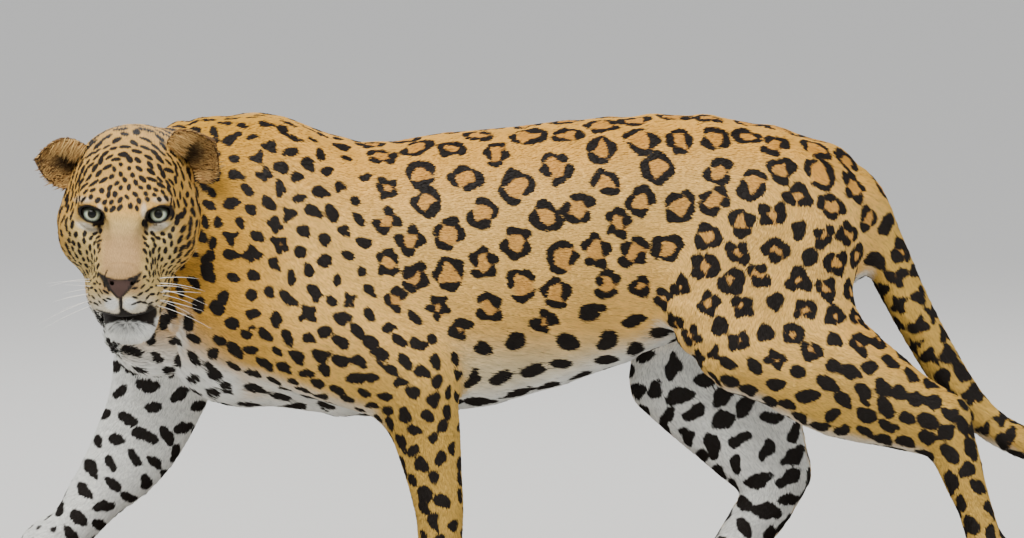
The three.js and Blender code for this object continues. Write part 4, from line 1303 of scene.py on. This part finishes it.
def paint(points, normals, weights):
    # ground colour, gently mottled, and distance outside the black markings
    ground = groundColour(points, normals, weights)
    mottle = wobble(points, 1.0, 60, 8)[:, 0] + wobble(points, 0.8, 17, 9)[:, 0]
    ground = ground * (1 + 0.06 * np.clip(mottle, -1.5, 1.5))[:, None]
    black, middle = marked(points, weights)
    ground = mixed(ground, tone["centre"], ramp(1.5, -3, middle) * 0.5)
    return ground, black


def furPlan(points, normals, weights):
    # length, width, lift and spacing area of the tufts in millimetres
    x, y, z = points.T
    height = z - baseTop
    one = np.ones(len(points))
    legs = sum(weights[name] for name in legParts)
    paws = sum(weights[name] for name in pawParts)
    under = ramp(-0.1, -0.6, normals[:, 2]) * (weights["trunk"] + weights["neck"])
    face = weights["head"] * ramp(-120, -170, y)
    low = ramp(380, 250, height)

    def plan(body, belly, leg, tail, faces, paw):
        # the body's value, drawn to each other part's by how much a place belongs to it
        value = body * one
        value += (belly - value) * under
        value += (leg - value) * legs * low
        value += (tail - value) * weights["tail"]
        value += (faces - value) * face
        value += (paw - value) * paws
        return value

    length = plan(9.0, 18, 7.5, 10, 4.2, 5.5)
    width = plan(1.8, 2.2, 1.6, 1.9, 0.95, 1.4)
    lift = plan(2.8, 5.5, 2.4, 3.0, 1.4, 1.8)
    area = plan(5.2, 6.5, 4.2, 5.0, 1.75, 3.2)
    a, b = facePlane(points)
    cheek = face * ramp(62, 84, np.abs(a)) * ramp(30, -20, b)
    length += cheek * 6
    lift += cheek * 1.5
    width += cheek * 0.5
    chin = face * ramp(-136, -150, b)
    length += chin * 5
    bare = np.minimum.reduce([
        ramp(0.8, 2.6, eyeDistance(points)) + (y > -190),
        1 - np.maximum(*nosePaint(points)),
        1 - lipPaint(points),
    ])
    return length, width, lift, area, bare


def tuftRoots(points, faces, area, bare):
    # places spread over the faces, as many as their area asks for, evened by layers
    wanted = faceAreas(points, faces) * (bare / area)[faces].mean(1)
    total = np.cumsum(wanted)
    count = int(total[-1])
    picks = np.searchsorted(total, (np.arange(count) + rng.random(count)) * (total[-1] / count))
    u, v = rng.random((2, count))
    shares = np.column_stack([(1 - u) * (1 - v), u * (1 - v), u * v, (1 - u) * v])
    return shares, faces[picks]


def carried(values, shares, corners):
    # values of a mesh's vertices at places that are shares of their face's corners
    return np.einsum("ij,ij...->i...", shares, values[corners])


def tufts(root, normal, lie, length, width, lift):
    # closed slivers of four triangles: two root corners, a raised ridge and a tip
    side = np.cross(normal, lie)
    length, width, lift = length[:, None], width[:, None], lift[:, None]
    base = root - normal * 0.4
    corners = np.stack([
        base + side * width / 2,
        base - side * width / 2,
        root + lie * length * 0.45 + normal * lift * 0.7,
        root + lie * length + normal * lift * 0.85,
    ], 1)
    shading = np.stack([
        normal + side * 0.3 - lie * 0.15,
        normal - side * 0.3 - lie * 0.15,
        normal,
        normal + lie * 0.45,
    ], 1)
    start = 4 * np.arange(len(root))[:, None, None]
    faces = start + np.array([[0, 1, 2], [0, 2, 3], [1, 3, 2], [0, 3, 1]])
    return corners.reshape(-1, 3), faces.reshape(-1, 3), unit(shading.reshape(-1, 3))


fur = {"amount": 1.0, "turn": 0.12, "uneven": 0.2}
length, width, lift, area, bare = furPlan(skinPoints, skinNormals, skinWeights)
shares, corners = tuftRoots(skinPoints, skinFaces, area / fur["amount"], bare)
roots = carried(skinPoints, shares, corners)
rootNormals = unit(carried(skinNormals, shares, corners))
rootWeights, rootLie, rootUnwrap = survey(roots, rootNormals)
turn = rng.normal(0, fur["turn"], len(roots))[:, None]
side = np.cross(rootNormals, rootLie)
tuftLie = unit(rootLie * np.cos(turn) + side * np.sin(turn))
length, width, lift = (carried(values, shares, corners) for values in (length, width, lift))
length *= 1 + rng.normal(0, fur["uneven"], len(roots)).clip(-0.5, 0.5)
lift *= rng.uniform(0.75, 1.1, len(roots))
lowPlace, highPlace = (roots + tuftLie * (length * share)[:, None] for share in (0.3, 0.85))
ground, lowBlack = paint(lowPlace, rootNormals, rootWeights)
highBlack = marked(highPlace, rootWeights)[0]
spill = rng.normal(0, 0.35, len(roots))
black = np.stack([lowBlack, lowBlack, (lowBlack + highBlack) / 2, highBlack], 1) + spill[:, None]
shade = rng.normal(0.5, 0.13, len(roots)).clip(0.15, 0.85)
print("tufts:", len(roots))

skinGround, skinBlack = paint(skinPoints, skinNormals, skinWeights)
# The skin shows only between the tufts, so its ground is darkened (times 0.8, with a low shade of
# 0.4): painted shade deep in the coat.
skin = addPiece(
    "skin", skinPoints, skinFaces, skinLook,
    ground=skinGround * 0.8, mark=skinBlack, shade=np.full(len(skinPoints), 0.4),
)
fleshNodes = [
    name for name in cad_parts
    if not name.startswith(("eye_", "ear_")) and name != "stand_base"
]
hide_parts(*fleshNodes)

# The coat in pieces, each small enough for the library: how many, and the parts of
# the body that they cover.
coatGroups = {
    "head": (2, ["head"]),
    "neck": (1, ["neck"]),
    "trunk": (5, ["trunk"]),
    "tail": (1, ["tail"]),
    "left_fore": (1, ["leftFore", "leftForePaw"]),
    "right_fore": (1, ["rightFore", "rightForePaw"]),
    "left_hind": (1, ["leftHind", "leftHindPaw"]),
    "right_hind": (1, ["rightHind", "rightHindPaw"]),
}
tuftPatch = np.array([[0, 0.0012], [0, -0.0012], [0.0012, 0], [0.0024, 0]])  # on the unwrap
bodyShade, earShade = np.array([-0.14, -0.14, 0.04, 0.12]), np.array([-0.15, -0.15, 0.05, 0.12])
partOf = np.argmax([rootWeights[name] for name in partNames], 0)
for group, (pieces, names) in coatGroups.items():
    index = np.flatnonzero(np.isin(partOf, [partNames.index(name) for name in names]))
    index = index[np.argsort(roots[index, 0], kind="stable")]
    for k, some in enumerate(np.array_split(index, pieces)):
        points, faces, normals = tufts(
            roots[some], rootNormals[some], tuftLie[some], length[some], width[some], lift[some]
        )
        piece = addPiece(
            f"coat_{group}_{k + 1}", points, faces, coat,
            normals=normals,
            unwrap=(rootUnwrap[some][:, None] + tuftPatch).reshape(-1, 2),
            ground=np.repeat(ground[some], 4, 0),
            mark=black[some].ravel(),
            shade=(shade[some][:, None] + bodyShade).ravel(),
        )
        print(piece.name, len(faces), "triangles")


def triangulated(quads):
    # two triangles for each face of four corners
    return np.concatenate([quads[:, [0, 1, 2]], quads[:, [0, 2, 3]]])


# Eyes: a ball with a raised cornea, its rings measured from the gaze. Bands of the
# iris: distance from the gaze, reach of the change, colour beyond; a reach below zero
# paints what is nearer to the gaze.
gaze = unit(np.array([0.0, -1.0, 0.06]))
irisBands = (
    (7.4, 2.6, (104, 116, 100)),
    (10.4, 0.9, (22, 17, 13)),
    (7.0, -1.6, (112, 116, 84)),
    (5.6, -0.7, (5, 5, 5)),
)


def eyeBall(centre, rings=40, turns=64):
    # radius grows over the iris by a smooth bulge; poles are closed by one vertex each
    polar = np.linspace(0, math.pi, rings + 2)[1:-1]
    angle = np.arange(turns) * 2 * math.pi / turns
    across = unit(np.cross(gaze, [0, 0, 1.0]))
    upward = np.cross(across, gaze)

    def radius(p):
        # the ball's, with a bulge that falls to nothing at the cornea's reach
        bulge = np.clip(1 - (p / eye["corneaReach"]) ** 2, 0, 1) ** 2
        return eye["radius"] + eye["cornea"] * bulge

    ring = radius(polar) * np.sin(polar)
    ahead = radius(polar) * np.cos(polar)
    turned = np.cos(angle)[None, :, None] * across + np.sin(angle)[None, :, None] * upward
    points = centre + ahead[:, None, None] * gaze + ring[:, None, None] * turned
    poles = [centre + radius(0) * gaze, centre - radius(math.pi) * gaze]
    points = np.concatenate([points.reshape(-1, 3), poles])
    spin = np.arange(turns)
    rows = np.arange(rings - 1)[:, None] * turns
    first = (rows + spin[None]).ravel()
    following = (rows + (spin[None] + 1) % turns).ravel()
    quads = np.column_stack([first, first + turns, following + turns, following])
    last = (rings - 1) * turns
    front = np.column_stack([np.full(turns, len(points) - 2), spin, (spin + 1) % turns])
    rear = np.full(turns, len(points) - 1)
    back = np.column_stack([rear, last + (spin + 1) % turns, last + spin])
    triangles = np.concatenate([triangulated(quads), front, back])
    fromGaze = np.concatenate([np.repeat(np.sin(polar) * eye["radius"], turns), [0, 0]])
    behind = np.concatenate([np.repeat(polar > math.pi / 2, turns), [False, True]])
    fromGaze = np.where(behind, eye["behind"], fromGaze)
    around = np.concatenate([np.tile(angle, rings), [0, 0]])
    streak = 0.5 + 0.25 * np.sin(around * 23) + 0.25 * np.sin(around * 37 + 1.3)
    height = (points - centre) @ upward
    return points, triangles, fromGaze, streak, height


eyeLook = Look("eye", 0.12, Specular_IOR_Level=0.2)
ringOut = eyeLook.value("ring")
irisPale, irisDark = rgba(colour(196, 202, 182)), rgba(colour(164, 172, 152))
iris = eyeLook.blend(eyeLook.value("streak"), irisPale, irisDark)
for edge, over, tint in irisBands:
    iris = eyeLook.blend(((ringOut - edge) / over).clamped(), iris, rgba(colour(*tint)))
lidShade = ((eyeLook.value("rise") - 0.5) / 4.5).clamped() * 0.9
eyeLook.give("Base Color", eyeLook.blend(lidShade, iris, rgba(colour(38, 36, 28))))
for centre, node in zip(eyeCentres, ("eye_left", "eye_right")):
    points, faces, ring, streak, rise = eyeBall(centre)
    ball = addPiece(node + "_ball", points, faces, eyeLook, ring=ring, streak=streak, rise=rise)
    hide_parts(node)

# Ears: a thin cup on a path from root to tip, wide at the foot and closed at the tip.
ear = {"depth": 17, "wall": 3.6, "lean": 8, "fringe": 420}
earPlan = {
    "ear_left": (onHead(44, 66, 31), (-439, -158, 655 + baseTop), (0.3, -1, 0.1), 36),
    "ear_right": (onHead(46, -60, 31), (-676, -164, 630 + baseTop), (-0.3, -1, 0.1), 30),
}


def earSpread(width, held):
    # half width of an ear at a share of its height: fullest near the middle, none at
    # the tip
    return width * np.sqrt(1 - held**3) * (0.85 + 0.3 * np.sin(math.pi * held))


def earCup(root, tip, facing, width, steps=30, turns=26):
    # back curve and front curve at every height, as one closed ring each
    root, tip = np.array(root, float), np.array(tip, float)
    along = tip - root
    axis = unit(along)
    front = np.array(facing, float)
    front = unit(front - axis * (front @ axis))
    across = np.cross(axis, front)
    t = np.linspace(-0.12, 0.995, steps)[:, None]
    held = np.clip(t, 0, 1)
    spread = earSpread(width, held)
    bowl = ear["depth"] * (1 - 0.55 * held)
    wall = ear["wall"] * (1 - 0.4 * held)
    sweepBack = -np.cos(np.linspace(0, math.pi, turns))[None]
    u = np.concatenate([sweepBack, sweepBack[:, ::-1][:, 1:-1]], 1)
    behind = np.concatenate([np.ones((1, turns)), np.zeros((1, turns - 2))], 1)
    v = -bowl * (1 - u * u) - behind * wall * np.sqrt(np.clip(1 - 0.8 * u * u, 0, 1))
    forwards = v + ear["lean"] * t
    points = root + t[..., None] * along + (spread * u)[..., None] * across
    points = points + forwards[..., None] * front
    size = u.shape[1]
    grid = np.arange(steps * size).reshape(steps, size)
    following = np.roll(grid, -1, 1)
    quads = np.stack([grid[:-1], following[:-1], following[1:], grid[1:]], -1).reshape(-1, 4)
    points = points.reshape(-1, 3)
    ends = np.array([points[:size].mean(0), points[-size:].mean(0)])
    foot, peak = np.full(size, len(points)), np.full(size, len(points) + 1)
    caps = np.concatenate([
        np.column_stack([following[0], grid[0], foot]),
        np.column_stack([grid[-1], following[-1], peak]),
    ])
    points = np.concatenate([points, ends])
    back = np.concatenate([np.tile(behind, (steps, 1)).ravel(), [0, 0]])
    height = np.concatenate([np.repeat(t.ravel(), size), [0, 1]])
    aside = np.concatenate([np.tile(u, (steps, 1)).ravel(), [0, 0]])
    return points, quads, caps, axis, front, across, back, height, aside


earLook = coatLook("ear", 0.75)
earTone = {
    "dark": colour(30, 22, 17),
    "inside": colour(120, 84, 48),
    "paleSpot": colour(210, 186, 146),
    "hairDark": colour(120, 78, 34),
    "hairPale": colour(228, 184, 112),
    # painted shade for the ear's hollow
    "hollow": colour(34, 24, 16),
    "edge": colour(150, 110, 62),
    "fringeDark": colour(140, 90, 38),
    "fringePale": colour(234, 192, 118),
}
for node, (root, tip, facing, earWidth) in earPlan.items():
    cupData = earCup(root, tip, facing, earWidth)
    points, quads, caps, axis, front, across, back, height, aside = cupData
    triangles = np.concatenate([triangulated(quads), caps])
    normals = vertexNormals(points, quads)
    centreOut = (normals * (points - points.mean(0))).sum(1).mean()
    if centreOut < 0:
        triangles, quads, normals = triangles[:, ::-1], quads[:, ::-1], -normals
    inner = np.where(back > 0.5, 0.0, 1.0)
    shadeOf = np.tile(earTone["dark"], (len(points), 1))
    shadeOf = mixed(shadeOf, earTone["inside"], inner * ramp(0.1, 0.9, height))
    paleSpot = (1 - inner) * ramp(0.32, 0.2, np.abs(height - 0.55))
    paleSpot = paleSpot * ramp(0.7, 0.4, np.abs(aside))
    shadeOf = mixed(shadeOf, earTone["paleSpot"], paleSpot)
    cup = addPiece(
        node + "_cup", points, triangles, earLook,
        ground=shadeOf, mark=np.full(len(points), 6.0), shade=np.full(len(points), 0.5),
    )
    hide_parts(node)
    # short fur outside and on the rim, long pale hairs inside from the inner edge
    quadArea = np.where(height < 0.0, 1e6, 2.0) / fur["amount"]
    where = tuftRoots(points, quads, quadArea, np.ones(len(points)))
    at = carried(points, *where)
    out = unit(carried(normals, *where))
    isInner = carried(inner, *where) > 0.5
    heightHere, asideHere = carried(height, *where), carried(aside, *where)
    outwards = across * np.sign(across[0]) * (1 if node == "ear_left" else -1)
    sprawl = np.where(isInner[:, None], axis * 0.8 + outwards * 0.35 + front * 0.3, axis[None])
    way = unit(sprawl + rng.normal(0, 0.16, (len(at), 3)))
    flatter = np.where(isInner, 0.75, 1.0)[:, None]
    way = unit(way - out * (way * out).sum(1, keepdims=True) * flatter)
    longHairs = isInner & (heightHere > 0.02) & (rng.random(len(at)) < 0.5)
    size = np.where(longHairs, rng.uniform(12, 24, len(at)) * (1 - 0.65 * heightHere), 5.5)
    groundHere = carried(shadeOf, *where)
    gold = np.tile(earTone["hairDark"], (len(at), 1))
    gold = mixed(gold, earTone["hairPale"], rng.random(len(at)))
    # long hairs low in the cup, on the side towards the head, are darkened: painted shade in the
    # ear's hollow
    towardsHead = -asideHere * (outwards @ across)
    hollow = ramp(0.75, 0.3, heightHere) * ramp(-0.5, 0.1, towardsHead)
    hollow = hollow * ramp(1.0, 0.6, towardsHead)
    gold = mixed(gold, earTone["hollow"], hollow * 0.9)
    groundHere = np.where(longHairs[:, None], gold, groundHere)
    edge = (heightHere > 0.82) | (np.abs(asideHere) > 0.9)
    edgeTone = mixed(groundHere, earTone["edge"], np.full(len(at), 0.6))
    groundHere = np.where((edge & ~isInner)[:, None], edgeTone, groundHere)
    lifted = np.where(longHairs, 5.0, 1.6)
    # a fringe from the edge beside the head, out over the hollow
    fringe = ear["fringe"]
    rise = rng.uniform(0.0, 0.62, fringe)[:, None]
    edgeAt = np.array(root) + rise * (np.array(tip) - root)
    edgeAt = edgeAt - earSpread(earWidth, rise) * 0.93 * outwards
    edgeAt = edgeAt + (ear["lean"] * rise - 1) * front
    fringeWay = unit(outwards + axis * 0.75 + front * 0.12 + rng.normal(0, 0.16, (fringe, 3)))
    at = np.concatenate([at, edgeAt + rng.normal(0, 1.2, (fringe, 3))])
    out = np.concatenate([out, np.tile(front, (fringe, 1))])
    way = np.concatenate([way, fringeWay])
    size = np.concatenate([size, rng.uniform(18, 34, fringe) * (1 - 0.3 * rise[:, 0])])
    fringeTone = np.tile(earTone["fringeDark"], (fringe, 1))
    fringeTone = mixed(fringeTone, earTone["fringePale"], rng.random(fringe))
    groundHere = np.concatenate([groundHere, fringeTone])
    lifted = np.concatenate([lifted, np.full(fringe, 4.0)])
    heightHere = np.concatenate([heightHere, rise[:, 0]])
    asideHere = np.concatenate([asideHere, np.full(fringe, -0.9)])
    isInner = np.concatenate([isInner, np.ones(fringe, bool)])
    hairs, hairFaces, shading = tufts(at, out, way, size, np.where(size > 8, 1.7, 1.3), lifted)
    cell = np.column_stack([
        0.1 + 0.8 * np.clip(heightHere, 0, 1),
        0.25 + 0.2 * asideHere + 0.5 * isInner,
    ])
    hairShade = rng.normal(0.5, 0.22, len(at)).clip(0.0, 1.0)
    tuftPiece = addPiece(
        "coat_" + node, hairs, hairFaces, coat,
        normals=shading,
        unwrap=(cell[:, None] + tuftPatch).reshape(-1, 2),
        ground=np.repeat(groundHere, 4, 0),
        mark=np.full(4 * len(at), 6.0),
        shade=(hairShade[:, None] + earShade).ravel(),
    )


# Whiskers: tapering tubes along a bending path.
def strands(starts, ways, lengths, sag, radius, sides=5, steps=12):
    # each path runs along its way and bends by sag times the square of the distance
    t = np.linspace(0, 1, steps)[None, :, None]
    lengths = lengths[:, None, None]
    path = starts[:, None] + ways[:, None] * lengths * t + sag[:, None] * lengths * t**2
    ahead = unit(np.gradient(path, axis=1))
    first = unit(np.cross(ahead, [0, 1.0, 0.2]))
    second = np.cross(ahead, first)
    angle = np.arange(sides) * 2 * math.pi / sides
    thick = radius * (1 - 0.85 * t)
    rings = path[:, :, None] + thick[..., None] * (
        first[:, :, None] * np.cos(angle)[:, None] + second[:, :, None] * np.sin(angle)[:, None]
    )
    points = rings.reshape(-1, 3)
    grid = np.arange(len(points)).reshape(len(starts), steps, sides)
    following = np.roll(grid, -1, 2)
    quads = np.stack([grid[:, :-1], following[:, :-1], following[:, 1:], grid[:, 1:]], -1)
    foot, tip = grid[:, 0], grid[:, -1]
    return points, np.concatenate([
        triangulated(quads.reshape(-1, 4)),
        triangulated(foot[:, [3, 2, 1, 0]]),
        triangulated(tip[:, [0, 1, 2, 3]]),
        foot[:, [4, 3, 0]],
        tip[:, [3, 4, 0]],
    ])


whisker = {"perSide": 9, "length": (46, 84), "radius": 0.5}
starts, ways = [], []
for sign in (1, -1):
    for k in range(whisker["perSide"]):
        row, place = k % 4, k // 4
        up = -26 - 9 * row + rng.normal(0, 1)
        starts.append(onHead(232 - 9 * place, sign * (34 + 2.5 * place), up))
        forwards = rng.uniform(-0.05, 0.3)
        upwards = 0.22 - 0.16 * row + rng.normal(0, 0.06)
        ways.append(unit(headSide * sign + headForward * forwards + headUp * upwards))
starts, ways = np.array(starts), np.array(ways)
lengths = rng.uniform(*whisker["length"], len(starts))
sag = np.tile([0, 0.05, -0.16], (len(starts), 1)) * rng.uniform(0.3, 1.3, (len(starts), 1))
points, faces = strands(starts, ways, lengths, sag, whisker["radius"])
hairLook = Look("whisker", 0.35, Base_Color=rgba(colour(240, 236, 226)))
addPiece("whiskers", points, faces, hairLook)

# Stand: dark stained wood with a fine grain.
woodLook = Look("stand", 0.5)
grain = woodLook.noise(14.0, 6.0)
woodDark, woodPale = rgba(colour(70, 58, 50)), rgba(colour(96, 82, 70))
woodLook.give("Base Color", woodLook.blend(grain, woodDark, woodPale))
woodLook.bump(woodLook.noise(60.0), 0.15, 0.001)
plain = Look("carried", 0.8)
plain.give("Base Color", plain.blend(plain.noise(30.0), rgba(tone["flank"]), rgba(tone["back"])))
for name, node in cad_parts.items():
    node.data.materials.clear()
    node.data.materials.append((woodLook if name == "stand_base" else plain).material)

# Floor, light and camera.
floorLook = Look("floor", 0.85, Base_Color=rgba(colour(224, 222, 216)))
reach = 40000
square = [[-reach, -reach, 0], [reach, -reach, 0], [reach, reach, 0], [-reach, reach, 0]]
floor = addPiece("floor", square, [[0, 1, 2, 3]], floorLook, body=None, smooth=False)
floor.location.z = -0.0005


lights = {
    # place, target, size, power, tint
    "key": ((-1.5, -3.0, 4.0), (0, 0, 0.45), (2.6, 2.2), 268, (1.0, 0.98, 0.94)),
    "fill": ((3.4, -2.8, 2.0), (0, 0, 0.4), (2.6, 2.0), 50, (0.97, 0.98, 1.0)),
    "back": ((0.6, 3.4, 3.2), (0, 0, 0.5), (3.0, 1.6), 80, (1, 1, 1)),
}
room = {"tint": (0.93, 0.95, 1.0, 1), "strength": 0.85}


def areaLight(name, place, target, size, power, tint):
    # a rectangular lamp at a place, turned to its target
    light = bpy.data.lights.new(name, "AREA")
    light.shape = "RECTANGLE"
    light.size, light.size_y = size
    light.energy = power
    light.color = tint
    lamp = bpy.data.objects.new(name, light)
    lamp.location = place
    lamp.rotation_euler = (Vector(target) - Vector(place)).to_track_quat("-Z", "Y").to_euler()
    bpy.context.scene.collection.objects.link(lamp)


for name, settings in lights.items():
    areaLight(name, *settings)
world = bpy.data.worlds.new("room")
world.use_nodes = True
background = world.node_tree.nodes["Background"]
background.inputs["Color"].default_value = room["tint"]
background.inputs["Strength"].default_value = room["strength"]
bpy.context.scene.world = world

view = {"target": (-0.044, -0.110, 0.505), "elevation": 5.0, "distance": 14.0, "seen": 1.3653}
lens = bpy.data.cameras.new("camera")
lens.sensor_width = 36
lens.lens = 36 * view["distance"] / view["seen"]
lens.clip_end = 120
camera = bpy.data.objects.new("camera", lens)
rise = math.radians(view["elevation"])
outTo = Vector((0, -math.cos(rise), math.sin(rise)))
camera.location = Vector(view["target"]) + view["distance"] * outTo
camera.rotation_euler = (math.pi / 2 - rise, 0, 0)
bpy.context.scene.collection.objects.link(camera)
bpy.context.scene.camera = camera
